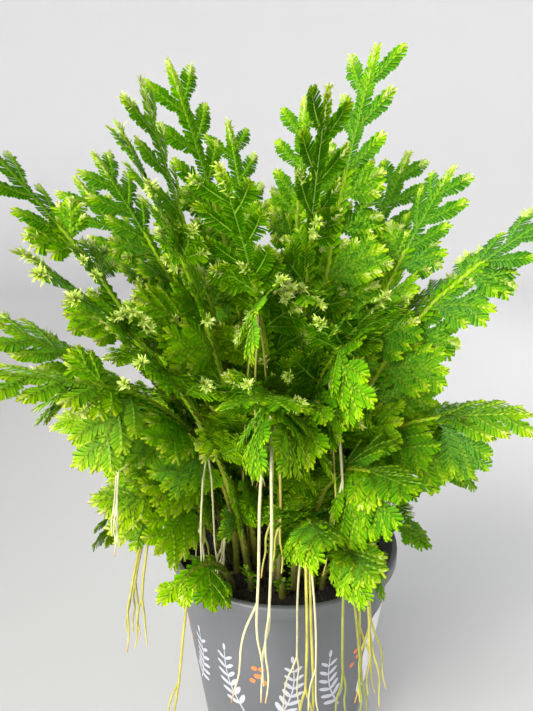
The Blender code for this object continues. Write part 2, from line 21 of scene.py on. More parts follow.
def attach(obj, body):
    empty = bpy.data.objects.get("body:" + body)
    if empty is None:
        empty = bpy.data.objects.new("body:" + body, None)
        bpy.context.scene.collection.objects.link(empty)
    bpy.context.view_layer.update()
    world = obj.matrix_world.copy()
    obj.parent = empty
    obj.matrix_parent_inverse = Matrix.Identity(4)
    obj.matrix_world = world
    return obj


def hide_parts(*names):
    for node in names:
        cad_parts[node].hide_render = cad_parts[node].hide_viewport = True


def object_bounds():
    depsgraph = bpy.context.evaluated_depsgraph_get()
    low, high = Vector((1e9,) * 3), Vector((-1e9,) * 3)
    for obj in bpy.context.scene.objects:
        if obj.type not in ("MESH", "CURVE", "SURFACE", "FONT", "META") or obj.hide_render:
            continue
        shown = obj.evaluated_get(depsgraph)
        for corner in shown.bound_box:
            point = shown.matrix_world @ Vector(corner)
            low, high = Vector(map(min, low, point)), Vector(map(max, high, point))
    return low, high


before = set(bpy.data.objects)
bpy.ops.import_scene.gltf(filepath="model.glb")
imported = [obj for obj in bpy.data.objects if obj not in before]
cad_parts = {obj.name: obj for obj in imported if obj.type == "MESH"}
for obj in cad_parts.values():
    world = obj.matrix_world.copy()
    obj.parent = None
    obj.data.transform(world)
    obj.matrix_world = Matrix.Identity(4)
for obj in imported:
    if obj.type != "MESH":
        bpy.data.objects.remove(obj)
CAD_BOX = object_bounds()

LOG = logging.getLogger("potted_spikemoss")
MM = 0.001
UP = Vector((0, 0, 1))
BODY = "root"

Pair = tuple[float, float]
Triple = tuple[float, float, float]
Stops = tuple[tuple[float, Triple], ...]
Socket = bpy.types.NodeSocket
Material = bpy.types.Material
Object = bpy.types.Object
Mesh = bpy.types.Mesh
BMesh = bmesh.types.BMesh
Drawn = list[tuple[Vector, float]]


class Slot(Enum):
    """The names of the material slots."""

    POT = "pot_plastic"
    SOIL = "soil"
    LABEL = "label_paper"
    LEAF = "leaf"
    ROOT = "aerial_root"


# Growth, by the same rules as the solids


def polar(bearing: float, radius: float, height: float = 0.0) -> Vector:
    """Finds a point round the pot's axis.

    Args:
        bearing: Degrees round the axis, 0 to the right and 90 to the back.
        radius: Distance from the axis.
        height: Height over the ground.

    Returns:
        The point.
    """
    angle = math.radians(bearing)
    return Vector((radius * math.cos(angle), radius * math.sin(angle), height))


def upright_to(face: Vector, heading: Vector) -> Vector:
    """Turns a face square to a heading.

    Args:
        face: The direction that an upper face looks.
        heading: The direction of growth.

    Returns:
        The unit direction nearest to the face and square to the heading.
    """
    return (face - heading * face.dot(heading)).normalized()


@dataclass(frozen=True)
class Station:
    """A place on a stem or spray: where it is, where it heads, and the way its upper face looks."""

    at: Vector
    heading: Vector
    face: Vector

    @property
    def side(self) -> Vector:
        """The direction to the left of the heading, across the face."""
        return self.face.cross(self.heading)

    def aside(self, angle: float, side: int) -> "Station":
        """Heads off to one side in the face.

        Args:
            angle: Degrees between the old heading and the new one.
            side: 1 for left and -1 for right.

        Returns:
            The station with its new heading.
        """
        turn = math.radians(angle)
        heading = self.heading * math.cos(turn) + self.side * side * math.sin(turn)
        return Station(self.at, heading.normalized(), self.face)

    def tilted(self, axis: Vector, angle: float) -> "Station":
        """Turns the station about an axis through it.

        Args:
            axis: The direction of the axis.
            angle: Degrees to turn.

        Returns:
            The turned station.
        """
        turn = Matrix.Rotation(math.radians(angle), 3, axis)
        return Station(self.at, turn @ self.heading, turn @ self.face)


@dataclass(frozen=True)
class Frames:
    """Many stations as arrays, one row for each."""

    at: np.ndarray
    heading: np.ndarray
    face: np.ndarray

    @property
    def side(self) -> np.ndarray:
        """The directions to the left of the headings."""
        return np.cross(self.face, self.heading)


def unit(rows: np.ndarray) -> np.ndarray:
    """Scales each row of an array to length one."""
    return rows / np.maximum(np.linalg.norm(rows, axis=1, keepdims=True), 1e-12)


class Line:
    """The stations of a stem, rib, lobe or root, from its foot to its tip."""

    SAMPLE_PITCH = 2.4 * MM

    def __init__(self, stations: list[Station]) -> None:
        """Keeps the stations."""
        self.stations = stations

    @classmethod
    def grown(cls, start: Station, length: float, steps: int, pull: Vector) -> "Line":
        """Grows a line that a steady pull bends.

        Args:
            start: The first station.
            length: The length of the line.
            steps: How many straight steps it has.
            pull: What the pull adds to the heading over the whole length.

        Returns:
            The line.
        """
        return cls.pulled(start, length, [pull / steps] * steps)

    @classmethod
    def pulled(cls, start: Station, length: float, pulls: list[Vector]) -> "Line":
        """Grows a line that a pull of its own bends at each step.

        Args:
            start: The first station.
            length: The length of the line.
            pulls: What is added to the heading at each step.

        Returns:
            The line.
        """
        stations = [start]
        for pull in pulls:
            last = stations[-1]
            heading = (last.heading + pull).normalized()
            at = last.at + heading * (length / len(pulls))
            stations.append(Station(at, heading, upright_to(last.face, heading)))
        return cls(stations)

    @cached_property
    def length(self) -> float:
        """The length of the line."""
        return sum((after.at - before.at).length for before, after in zip(self.stations, self.stations[1:]))

    def at(self, share: float) -> Station:
        """Finds the station at a share of the line's steps, between its neighbours.

        Args:
            share: From 0 at the foot to 1 at the tip.

        Returns:
            The station.
        """
        place = min(max(share, 0.0), 1.0) * (len(self.stations) - 1)
        index = min(int(place), len(self.stations) - 2)
        part = place - index
        first, second = self.stations[index], self.stations[index + 1]
        heading = first.heading.lerp(second.heading, part).normalized()
        face = upright_to(first.face.lerp(second.face, part), heading)
        return Station(first.at.lerp(second.at, part), heading, face)

    def evenly(self) -> list[Station]:
        """Stations close together along the whole line."""
        count = math.ceil(self.length / self.SAMPLE_PITCH)
        return [self.at(step / count) for step in range(count + 1)]

    def points(self) -> list[Vector]:
        """Points close together along the whole line."""
        return [station.at for station in self.evenly()]

    @cached_property
    def rows(self) -> Frames:
        """The stations as arrays."""
        parts = ("at", "heading", "face")
        return Frames(*(np.array([tuple(getattr(one, part)) for one in self.stations]) for part in parts))

    def frames(self, shares: np.ndarray) -> Frames:
        """Finds many stations at once.

        Args:
            shares: Shares of the line's steps, from 0 to 1.

        Returns:
            The stations as arrays.
        """
        place = np.clip(shares, 0, 1) * (len(self.stations) - 1)
        index = np.minimum(place.astype(int), len(self.stations) - 2)
        part = (place - index)[:, None]
        at, heading, face = (
            table[index] * (1 - part) + table[index + 1] * part
            for table in (self.rows.at, self.rows.heading, self.rows.face)
        )
        heading = unit(heading)
        face = unit(face - heading * np.sum(face * heading, axis=1, keepdims=True))
        return Frames(at, heading, face)


@dataclass(frozen=True)
class PotSizes:
    """The sizes of the pot and of what fills it."""

    height: float = 75 * MM
    rim_radius: float = 40 * MM
    rim_depth: float = 4.5 * MM
    rim_step: float = 1.9 * MM
    base_radius: float = 28.5 * MM
    wall: float = 1.1 * MM
    base_wall: float = 1.6 * MM
    gap: float = 0.3 * MM
    soil_drop: float = 7 * MM
    soil_mound: float = 1.6 * MM

    @property
    def soil_level(self) -> float:
        """The height of the soil."""
        return self.height - self.soil_drop

    @property
    def shoulder(self) -> float:
        """The radius of the soil at its top."""
        return self.side_radius(self.soil_level) - self.wall - self.gap

    def side_radius(self, height: float) -> float:
        """The outer radius of the pot's side at a height."""
        under_rim = self.rim_radius - self.rim_step
        return self.base_radius + (under_rim - self.base_radius) * height / (self.height - self.rim_depth)


POT = PotSizes()


@dataclass(frozen=True)
class Spray:
    """A flat side branch: its rib, and its lobes as (share of the rib, side, line)."""

    rib: Line
    lobes: tuple[tuple[float, int, Line], ...]

    STEPS = 5
    LOBE_STEPS = 3
    LONG = 20 * MM
    MIDDLE = 11 * MM
    LOBE_ANGLE = 46
    LOBE_LONGEST = 12.5 * MM
    LOBE_SHORTEST = 4 * MM
    LOBE_SHARE = 0.5
    LOBE_HOOK = 0.35
    LOBE_SAG = 0.15
    LOBE_HALF_WIDTH = 2.9 * MM
    FINGER_SHARE = 0.56
    FINGER_LONGEST = 14 * MM
    FINGER_STEPS = 5
    FINGER_HOOK = 0.55
    SAG_ALONG_FACE = 0.35
    LEADS = {1: 0.30, -1: 0.55}
    END_PITCHES = 0.6
    FINGER_LEADS = {1: 0.26, -1: 0.52}
    FINGER_END_PITCHES = 0.55
    FOOT_SIZE = 1.15
    TAPER = 0.75
    LOBE_VARIATION = (0.88, 1.1)
    FINGER_VARIATION = (0.85, 1.12)
    FINGER_TURNS = (0.88, 1.14)
    SAMPLES_ACROSS = (-0.7, 0, 0.7)

    @classmethod
    def pairs(cls, length: float) -> int:
        """How many pairs of lobes a rib of this length has."""
        return 3 if length >= cls.LONG else 2 if length >= cls.MIDDLE else 1

    @classmethod
    def grown(cls, start: Station, length: float, sag: float, rng: random.Random) -> "Spray":
        """Grows a spray with its lobes in pairs, the left one of each pair a little ahead of the right.

        Args:
            start: Where it leaves its stem.
            length: The length of its rib.
            sag: How far it bends over.
            rng: Draws the lengths of the lobes.

        Returns:
            The spray.
        """
        down = start.face * (-cls.SAG_ALONG_FACE * sag) - UP * ((1 - cls.SAG_ALONG_FACE) * sag)
        rib = Line.grown(start, length, cls.STEPS, down)
        pairs = cls.pairs(length)
        lobes = []
        for pair, side in product(range(pairs), (1, -1)):
            share = (pair + cls.LEADS[side]) / (pairs + cls.END_PITCHES)
            size = cls.LOBE_SHARE * (cls.FOOT_SIZE - cls.TAPER * share)
            wanted = length * size * rng.uniform(*cls.LOBE_VARIATION)
            lobe_length = min(max(wanted, cls.LOBE_SHORTEST), cls.LOBE_LONGEST)
            begin = rib.at(share)
            pull = begin.heading * cls.LOBE_HOOK - (begin.face + UP) * (cls.LOBE_SAG / 2)
            line = Line.grown(begin.aside(cls.LOBE_ANGLE, side), lobe_length, cls.LOBE_STEPS, pull)
            lobes.append((share, side, line))
        return cls(rib, tuple(lobes))

    def fingers(self, rng: random.Random) -> list[Line]:
        """Grows the lobes that are seen, which are fewer, longer and rounder than the solids' leaflets.

        Args:
            rng: Draws their lengths and angles.

        Returns:
            The lobes.
        """
        length = self.rib.length
        pairs = self.pairs(length)
        lines = []
        for pair, side in product(range(pairs), (1, -1)):
            share = (pair + self.FINGER_LEADS[side]) / (pairs + self.FINGER_END_PITCHES)
            size = self.FINGER_SHARE * (self.FOOT_SIZE - self.TAPER * share)
            wanted = length * size * rng.uniform(*self.FINGER_VARIATION)
            begin = self.rib.at(share)
            pull = begin.heading * self.FINGER_HOOK - (begin.face + UP) * self.LOBE_SAG
            aside = begin.aside(self.LOBE_ANGLE * rng.uniform(*self.FINGER_TURNS), side)
            held = min(max(wanted, self.LOBE_SHORTEST), self.FINGER_LONGEST)
            lines.append(Line.grown(aside, held, self.FINGER_STEPS, pull))
        return lines

    def samples(self) -> list[Vector]:
        """Points spread over the spray, close enough together that nothing passes between them."""
        points = []
        for line in [self.rib] + [line for _, _, line in self.lobes]:
            count = max(2, math.ceil(line.length / Line.SAMPLE_PITCH))
            for step in range(count + 1):
                station = line.at(step / count)
                reach = station.side * self.LOBE_HALF_WIDTH
                points += [station.at + reach * across for across in self.SAMPLES_ACROSS]
        return points


class Crowd:
    """The points that belong to each owner, and whether a new piece keeps clear of the others'."""

    CLEARANCE = 2.5 * MM

    def __init__(self) -> None:
        """Starts with no points."""
        self.points: list[Vector] = []
        self.owners: list[str] = []
        self.tree = kdtree.KDTree(0)

    def add(self, owner: str, points: list[Vector]) -> None:
        """Takes in an owner's points.

        Args:
            owner: The owner's name.
            points: Its points.
        """
        self.points += points
        self.owners += [owner] * len(points)
        self.tree = kdtree.KDTree(len(self.points))
        for index, point in enumerate(self.points):
            self.tree.insert(point, index)
        self.tree.balance()

    def is_clear(self, owner: str, points: list[Vector]) -> bool:
        """Tells whether no other owner's point lies within the clearance of these points.

        Args:
            owner: The owner of the points.
            points: The points.

        Returns:
            True if they are clear.
        """
        return not any(
            self.owners[index] != owner
            for point in points
            for _, index, _ in self.tree.find_range(point, self.CLEARANCE)
        )

    def room(self, points: list[Vector]) -> float:
        """The distance from these points to the nearest point that is already taken."""
        return min(self.tree.find(point)[2] for point in points)


@dataclass(frozen=True)
class StemPlan:
    """A leafy stem: the place of its tip, how far it arches over, and its longest spray."""

    name: str
    bearing: float  # degrees round the pot, 0 to the right and 90 to the back
    reach: float  # of the tip from the pot's axis, in millimetres
    height: float  # of the tip over the pot's rim, in millimetres
    arch: float  # degrees that the stem turns over between root and tip
    roll: float  # degrees that the spray's face is rolled about the stem
    spread: float  # length of the longest spray, in millimetres
    leafy_from: float = 0.0  # share of the stem under which a shoot carries no sprays

    STEPS = 9
    STALK_STEPS = 7
    SIDES = 4
    FOOT_RADIUS = 1.25 * MM
    TIP_RADIUS = 0.6 * MM
    SUNK = 6 * MM
    ROOT_INNER = 6 * MM
    ROOT_OUTER = 30 * MM
    ARCH_LATENESS = 1.3
    BARE_LENGTH = 22 * MM
    SPRAY_PITCH = 11.6 * MM
    SPRAY_END_SHARE = 0.73
    FOOT_ANGLE = 60
    TIP_ANGLE = 38
    SPRAY_SAG = 0.50
    APEX_SAG = 0.15
    APEX_SHARE = STALK_STEPS / STEPS
    APEX_SUNK = 0.03
    SAG_CHANGES = (0.0, 0.35, -0.35, 0.7, -0.7, 1.1, -1.1)
    TILTS = (0, 16, -16, 32, -32)
    LENGTH_SHARES = (1.0, 0.8, 0.62)
    ROOT_SPREAD_POWER = 0.8
    BARE_SHARE_LIMIT = 0.4
    SPRAYS_LEAST = 4
    SPRAY_RISE = 0.35
    SPRAY_FALL = 0.45
    SPRAY_FALL_POWER = 2.2
    SPRAY_VARIATION = (0.9, 1.08)

    def root_place(self) -> Vector:
        """Where the stem leaves the soil: the more upright it stands, the nearer to the middle of the pot."""
        rise = math.atan2(self.height * MM + POT.soil_drop, max(self.reach * MM - self.ROOT_INNER, MM))
        upright = max(rise, 0) / (math.pi / 2)
        spread = (self.ROOT_OUTER - self.ROOT_INNER) * (1 - upright) ** self.ROOT_SPREAD_POWER
        return polar(self.bearing, self.ROOT_INNER + spread, POT.soil_level)

    def line(self) -> Line:
        """The stem, which turns over in the upright plane through its bearing, later rather than sooner."""
        root = self.root_place()
        chord = polar(self.bearing, self.reach * MM, POT.height + self.height * MM) - root
        across = UP.cross(polar(self.bearing, 1))
        along = chord.normalized()
        over = along.cross(across)
        headings = []
        for step in range(self.STEPS):
            tilt = math.radians(self.arch) * (0.5 - ((step + 0.5) / self.STEPS) ** self.ARCH_LATENESS)
            headings.append(along * math.cos(tilt) + over * math.sin(tilt))
        reached = sum(headings, Vector())
        turn = reached.rotation_difference(chord)
        points = [root]
        for heading in headings:
            points.append(points[-1] + turn @ heading * (chord.length / reached.length))
        stations = []
        for index, point in enumerate(points):
            before, after = points[max(index - 1, 0)], points[min(index + 1, len(points) - 1)]
            heading = (after - before).normalized()
            face = Matrix.Rotation(math.radians(self.roll), 3, heading) @ heading.cross(across)
            stations.append(Station(point, heading, upright_to(face, heading)))
        return Line(stations)

    def spray_shares(self, stem: Line) -> list[float]:
        """The shares of the stem at which its sprays start, from the lowest up."""
        bare = min(self.BARE_LENGTH / stem.length, self.BARE_SHARE_LIMIT)
        leafy = stem.length * self.SPRAY_END_SHARE - bare * stem.length
        count = max(self.SPRAYS_LEAST, round(leafy / self.SPRAY_PITCH))
        return [bare + (self.SPRAY_END_SHARE - bare) * index / (count - 1) for index in range(count)]

    def spray_start(self, stem: Line, share: float, leafy: float, side: int) -> Station:
        """The start of a spray on one side of the stem, at a share of the leafy length."""
        angle = self.FOOT_ANGLE + (self.TIP_ANGLE - self.FOOT_ANGLE) * leafy
        return stem.at(share).aside(angle, side)

    def spray_length(self, leafy: float) -> float:
        """The length of a spray: short at the foot of the stem, longest near its middle, short at the tip."""
        rise = math.sin(math.pi / 2 * min(leafy / self.SPRAY_RISE + self.SPRAY_RISE, 1))
        return self.spread * MM * rise * (1 - self.SPRAY_FALL * leafy**self.SPRAY_FALL_POWER)

    def sprays(self, stem: Line, crowd: Crowd) -> list[Spray]:
        """Grows the sprays of the solids.

        Args:
            stem: The stem that carries them.
            crowd: What they keep clear of.

        Returns:
            The sprays, each bent, tilted or shortened until it is clear, or left out.
        """
        rng = random.Random(self.name)
        tip = stem.at(self.APEX_SHARE - self.APEX_SUNK)
        shares = self.spray_shares(stem)
        starts = []
        for index, share in enumerate(shares):
            leafy = index / (len(shares) - 1)
            start = self.spray_start(stem, share, leafy, 1 if index % 2 else -1)
            starts.append((start, self.spray_length(leafy), self.SPRAY_SAG))
        starts.append((tip, stem.length * (1 - self.APEX_SHARE + self.APEX_SUNK), self.APEX_SAG))
        sprays = []
        for start, length, sag in starts:
            length *= rng.uniform(*self.SPRAY_VARIATION)
            seed = rng.random()
            axis = start.heading.lerp(tip.heading, 0.5).normalized()
            for share, tilt, change in product(self.LENGTH_SHARES, self.TILTS, self.SAG_CHANGES):
                begin = start.tilted(axis, tilt)
                spray = Spray.grown(begin, length * share, sag + change, random.Random(seed))
                if crowd.is_clear(self.name, spray.samples()):
                    sprays.append(spray)
                    break
        return sprays

    def stalk_radius(self, share: float) -> float:
        """The radius of the stalk at a share of the stem's length."""
        return self.FOOT_RADIUS + (self.TIP_RADIUS - self.FOOT_RADIUS) * min(share / self.APEX_SHARE, 1)


class RootTone(Enum):
    """The colours of the aerial roots, from the youngest to the oldest."""

    CREAM = (0.74, 0.70, 0.42)
    YELLOW = (0.56, 0.52, 0.10)
    OLIVE = (0.30, 0.33, 0.06)


@dataclass(frozen=True)
class RootPlan:
    """A cluster of aerial roots: the stem that it hangs from, where, how long, and its strands."""

    name: str
    stem: str
    reach: float  # of its start from the pot's axis, in millimetres
    length: float  # in millimetres
    strands: int
    swing: float  # how far it first swings outwards, as a share of straight down
    lean: float  # the bearing that its strands lean to, in degrees
    tone: RootTone

    KNOT_RADIUS = 1.0 * MM
    STEP = 9 * MM
    LEAST_STEPS = 3
    SAG = 0.7
    SWING_KEPT = 0.15
    SPREAD = 0.3
    APART = 100
    FAN = 40
    WAVE = 0.05
    WAVE_TURN = 70
    VARIATION = (0.85, 1.0)
    TRIES = 8
    ROOM_FROM = 3

    def strand(self, start: Station, length: float, rng: random.Random) -> Line:
        """Grows a strand that leaves a stem, swings a little and hangs.

        Args:
            start: Its first station.
            length: Its length, which ends over the soil inside the pot.
            rng: Draws its sway.

        Returns:
            The strand.
        """
        if math.hypot(start.at.x, start.at.y) < POT.rim_radius - POT.rim_step:
            length = min(length, start.at.z - POT.soil_level - 2 * POT.soil_mound)
        steps = max(self.LEAST_STEPS, round(length / self.STEP))
        outward = Vector((start.at.x, start.at.y, 0)).normalized()
        steady = outward * (self.swing * self.SWING_KEPT) - UP * self.SAG
        sway = rng.uniform(0, 360)
        pulls = [steady + polar(sway + self.WAVE_TURN * step, self.WAVE) for step in range(steps)]
        return Line.pulled(start, length, pulls)

    def lines(self, host: StemPlan, stem: Line, crowd: Crowd) -> list[Line]:
        """Grows the strands, which leave one place under their stem.

        Args:
            host: The plan of the stem.
            stem: The stem.
            crowd: What the strands keep clear of.

        Returns:
            The strands.
        """
        rng = random.Random(self.name)
        shares = host.spray_shares(stem)
        between = [(low + high) / 2 for low, high in zip(shares, shares[1:])]
        reach = {share: math.hypot(*stem.at(share).at.xy) for share in between}
        share = min(between, key=lambda place: abs(reach[place] - self.reach * MM))
        at = stem.at(share)
        underside = host.stalk_radius(share) * math.cos(math.pi / host.SIDES)
        below = at.at - at.face * (underside + self.KNOT_RADIUS + POT.gap)
        strands = []
        for index in range(self.strands):
            bearing = self.lean + self.APART * (index - (self.strands - 1) / 2)
            tries = []
            for _ in range(self.TRIES):
                lean = polar(bearing + rng.uniform(-self.FAN, self.FAN), self.SPREAD)
                heading = (-UP + at.heading * self.swing + lean).normalized()
                start = Station(below, heading, upright_to(at.heading, heading))
                tries.append(self.strand(start, self.length * MM * rng.uniform(*self.VARIATION), rng))
            strands.append(max(tries, key=lambda strand: crowd.room(strand.points()[self.ROOM_FROM :])))
        return strands


STEMS = (
    StemPlan("stem_front", 264, 76, 70, 125, 0, 27),
    StemPlan("stem_right_low", 297, 67, 44, 125, 8, 25),
    StemPlan("stem_right_hanging", 335, 74, 52, 122, 20, 24),
    StemPlan("stem_right_arching", 350, 88, 114, 72, 30, 27),
    StemPlan("stem_left_low", 218, 92, 72, 100, -15, 28),
    StemPlan("stem_left_hanging", 209, 66, 27, 112, -20, 27),
    StemPlan("stem_left_middle", 202, 86, 82, 60, -25, 27),
    StemPlan("stem_left_high", 186, 92, 136, 30, -25, 27),
    StemPlan("stem_left_near", 226, 84, 104, 50, -15, 26),
    StemPlan("stem_front_left_drop", 231, 55, 4, 130, -10, 17),
    StemPlan("stem_front_drop", 278, 59, 30, 120, 0, 18),
    StemPlan("stem_front_right_drop", 290, 62, 20, 120, 15, 20),
    StemPlan("stem_centre_near", 249, 48, 120, 60, 0, 26),
    StemPlan("stem_centre_near_right", 292, 60, 92, 85, 5, 26),
    StemPlan("stem_top_right", 12, 28, 160, 18, 40, 27),
    StemPlan("stem_top_left", 164, 38, 154, 26, -40, 24),
    StemPlan("stem_top_near", 300, 20, 144, 14, 10, 24),
    StemPlan("stem_crown_left", 194, 46, 146, 22, -30, 25),
    StemPlan("stem_crown_near_left", 222, 56, 134, 26, -20, 25),
    StemPlan("stem_crown_right", 4, 54, 128, 30, 35, 26),
    StemPlan("stem_crown_back_right", 36, 56, 132, 30, 25, 25),
    StemPlan("stem_upper_left", 168, 66, 132, 35, -30, 25),
    StemPlan("stem_upper_left_back", 152, 88, 122, 40, -20, 26),
    StemPlan("stem_back_top", 80, 48, 150, 30, 0, 25),
    StemPlan("stem_back_top_left", 112, 54, 140, 32, 0, 25),
    StemPlan("stem_right_rim", 2, 50, -2, 125, 20, 14),
    StemPlan("stem_right_back_low", 26, 92, 12, 90, 15, 27),
    StemPlan("stem_right_back", 44, 96, 56, 70, 15, 27),
    StemPlan("stem_left_back_low", 166, 88, 34, 85, -15, 25),
    StemPlan("stem_back_left_middle", 132, 90, 72, 65, -5, 27),
    StemPlan("stem_back_middle", 88, 88, 84, 65, 0, 27),
    StemPlan("stem_back_right_high", 60, 86, 104, 50, 5, 27),
    StemPlan("stem_back_low_right", 66, 82, 22, 95, 5, 26),
    StemPlan("stem_back_low_left", 107, 84, 27, 90, -5, 26),
)

SHOOTS = (
    StemPlan("shoot_front", 257, 66, 80, 185, 0, 24, 0.5),
    StemPlan("shoot_front_right", 283, 58, 60, 150, 0, 22, 0.45),
    StemPlan("sprout_left", 215, 33, 3, 70, 0, 11),
    StemPlan("sprout_front_left", 243, 30, 5, 60, 0, 11),
    StemPlan("sprout_front", 268, 34, 4, 80, 0, 10),
    StemPlan("sprout_front_right", 300, 32, 6, 65, 0, 11),
    StemPlan("sprout_right", 344, 36, 5, 80, 0, 13),
    StemPlan("sprout_back_right", 40, 33, 4, 70, 0, 11),
    StemPlan("sprout_back", 95, 34, 5, 70, 0, 11),
    StemPlan("sprout_back_left", 145, 32, 4, 70, 0, 11),
)

VIGOUR = 0.74

ROOTS = (
    RootPlan("roots_front_pale", "stem_front", 45, 98, 2, 0.3, 225, RootTone.CREAM),
    RootPlan("roots_front_olive", "stem_front_drop", 48, 86, 2, 0.3, 280, RootTone.YELLOW),
    RootPlan("roots_front_right", "stem_front_right_drop", 43, 62, 2, 0.5, 310, RootTone.OLIVE),
    RootPlan("roots_right_pale", "stem_centre_near_right", 41, 60, 1, 0.5, 300, RootTone.CREAM),
    RootPlan("roots_right_rim", "stem_right_low", 43, 78, 3, 0.4, 330, RootTone.YELLOW),
    RootPlan("roots_left_rim", "stem_left_hanging", 43, 58, 3, 0.5, 200, RootTone.YELLOW),
    RootPlan("roots_left_inner", "stem_left_near", 24, 60, 2, 0.1, 215, RootTone.CREAM),
    RootPlan("roots_left_long", "stem_front_left_drop", 43, 56, 1, 0.5, 230, RootTone.YELLOW),
    RootPlan("roots_inner_left", "stem_left_middle", 24, 60, 2, 0.0, 200, RootTone.OLIVE),
    RootPlan("roots_inner_front", "stem_front", 29, 60, 2, 0.1, 260, RootTone.YELLOW),
    RootPlan("roots_back_left", "stem_back_left_middle", 48, 70, 2, 0.4, 130, RootTone.CREAM),
    RootPlan("roots_back_right", "stem_right_back", 48, 70, 2, 0.4, 50, RootTone.YELLOW),
)

FINE_ROOTS = (
    RootPlan("fine_roots_left", "stem_left_low", 52, 50, 2, 0.3, 215, RootTone.CREAM),
    RootPlan("fine_roots_left_near", "stem_left_near", 33, 60, 3, 0.2, 250, RootTone.CREAM),
    RootPlan("fine_roots_middle", "stem_centre_near", 30, 60, 3, 0.2, 262, RootTone.YELLOW),
    RootPlan("fine_roots_front", "stem_front_drop", 50, 80, 2, 0.35, 235, RootTone.CREAM),
    RootPlan("fine_roots_right", "stem_centre_near_right", 50, 66, 2, 0.4, 300, RootTone.YELLOW),
)
FINE_THICKNESS = 0.72  # as a share of the other roots' thickness


@dataclass
class Growth:
    """Every stem, root cluster and spray, in the order in which they take up their room."""

    stems: dict[str, Line] = field(default_factory=dict)
    roots: dict[str, list[Line]] = field(default_factory=dict)
    sprays: dict[str, list[Spray]] = field(default_factory=dict)
    crowd: Crowd = field(default_factory=Crowd)

    FILL_TILTS = (0, 14, -14, 28, -28, 42, -42)
    FILL_SAGS = (0.5, 0.9, 0.2)
    FILL_LENGTH = 0.9
    FILL_LEAD = 0.15
    HANGING_ARCH = 80
    HANGING_SHARES = (0.60, 0.68, 0.76)
    HANGING_ANGLE = 42
    HANGING_LENGTH = 0.85
    HANGING_SAGS = (1.5, 2.1)
    LOWEST = 9 * MM
    SIDE_HEIGHTS = range(30, 70, 3)
    SOIL_RADII = range(1, 38, 3)
    FILL_VARIATION = (0.85, 1.08)
    HANGING_TURNS = (0.7, 1.2)
    HANGING_VARIATION = (0.85, 1.1)

    def __post_init__(self) -> None:
        """Grows everything that the solids show."""
        plans = {plan.name: plan for plan in STEMS}
        self.stems = {plan.name: plan.line() for plan in STEMS}
        self.crowd.add("pot", self.pot_points())
        for name, line in self.stems.items():
            self.crowd.add(name, line.points())
        for plan in ROOTS:
            self.roots[plan.name] = plan.lines(plans[plan.stem], self.stems[plan.stem], self.crowd)
            self.crowd.add(plan.name, [p for strand in self.roots[plan.name] for p in strand.points()])
        for plan in STEMS:
            self.sprays[plan.name] = plan.sprays(self.stems[plan.name], self.crowd)
            self.crowd.add(plan.name, [p for spray in self.sprays[plan.name] for p in spray.samples()])

    @classmethod
    def pot_points(cls) -> list[Vector]:
        """Points on the soil, the rim and the pot's side, which sprays keep clear of."""
        rings = [(POT.rim_radius, POT.height), (POT.rim_radius, POT.height - POT.rim_depth)]
        rings += [(POT.rim_radius - POT.rim_step, height * MM) for height in cls.SIDE_HEIGHTS]
        rings += [(radius * MM, POT.soil_level + POT.soil_mound / 2) for radius in cls.SOIL_RADII]
        points = []
        for radius, height in rings:
            count = max(4, math.ceil(2 * math.pi * radius / Line.SAMPLE_PITCH))
            points += [polar(360 * step / count, radius, height) for step in range(count)]
        return points

    def roomiest(
        self, stem: Station, start: Station, length: float, sags: tuple[float, ...], seed: float
    ) -> Spray:
        """Grows a spray where it has the most room.

        Args:
            stem: The station of the stem that it leaves.
            start: Its start before it is tilted about the stem.
            length: Its length.
            sags: How far it may bend over.
            seed: What the lengths of its lobes are drawn from.

        Returns:
            The spray.
        """
        tries = []
        for tilt, sag in product(self.FILL_TILTS, sags):
            spray = Spray.grown(start.tilted(stem.heading, tilt), length, sag, random.Random(seed))
            outer = [point for _, _, lobe in spray.lobes for point in lobe.points()]
            tries.append((self.crowd.room(outer + spray.rib.points()[2:]), spray))
        return max(tries, key=lambda pair: pair[0])[1]

    def filling_sprays(self, plan: StemPlan, stem: Line, sides: tuple[int, ...]) -> list[Spray]:
        """Grows sprays that the solids leave out, and those that hang from an arching stem's end.

        Args:
            plan: The stem's plan.
            stem: The stem.
            sides: The sides of the stem that they take, where 1 is across from the solids' sprays.

        Returns:
            The sprays.
        """
        rng = random.Random(f"{plan.name} filling")
        shares = plan.spray_shares(stem)
        ahead = (shares[1] - shares[0]) * self.FILL_LEAD
        sprays = []
        for (index, share), side in product(enumerate(shares), sides):
            if share < plan.leafy_from:
                continue
            leafy = index / (len(shares) - 1)
            start = plan.spray_start(stem, share + ahead, leafy, -side if index % 2 else side)
            length = plan.spray_length(leafy) * self.FILL_LENGTH * rng.uniform(*self.FILL_VARIATION)
            sprays.append(self.roomiest(stem.at(share), start, length, self.FILL_SAGS, rng.random()))
        if plan.arch >= self.HANGING_ARCH:
            for index, share in enumerate(self.HANGING_SHARES):
                at = stem.at(share)
                turn = self.HANGING_ANGLE * rng.uniform(*self.HANGING_TURNS)
                start = at.aside(turn, 1 if index % 2 else -1)
                length = plan.spread * MM * self.HANGING_LENGTH * rng.uniform(*self.HANGING_VARIATION)
                sprays.append(self.roomiest(at, start, length, self.HANGING_SAGS, rng.random()))
        sprays = [spray for spray in sprays if self.is_over_the_rim(spray)]
        self.crowd.add(plan.name, [point for spray in sprays for point in spray.samples()])
        return sprays

    def is_over_the_rim(self, spray: Spray) -> bool:
        """Tells whether a spray stays so high that the pot's rim and soil still show under it."""
        return min(point.z for point in spray.samples()) > POT.height + self.LOWEST


# Finishes


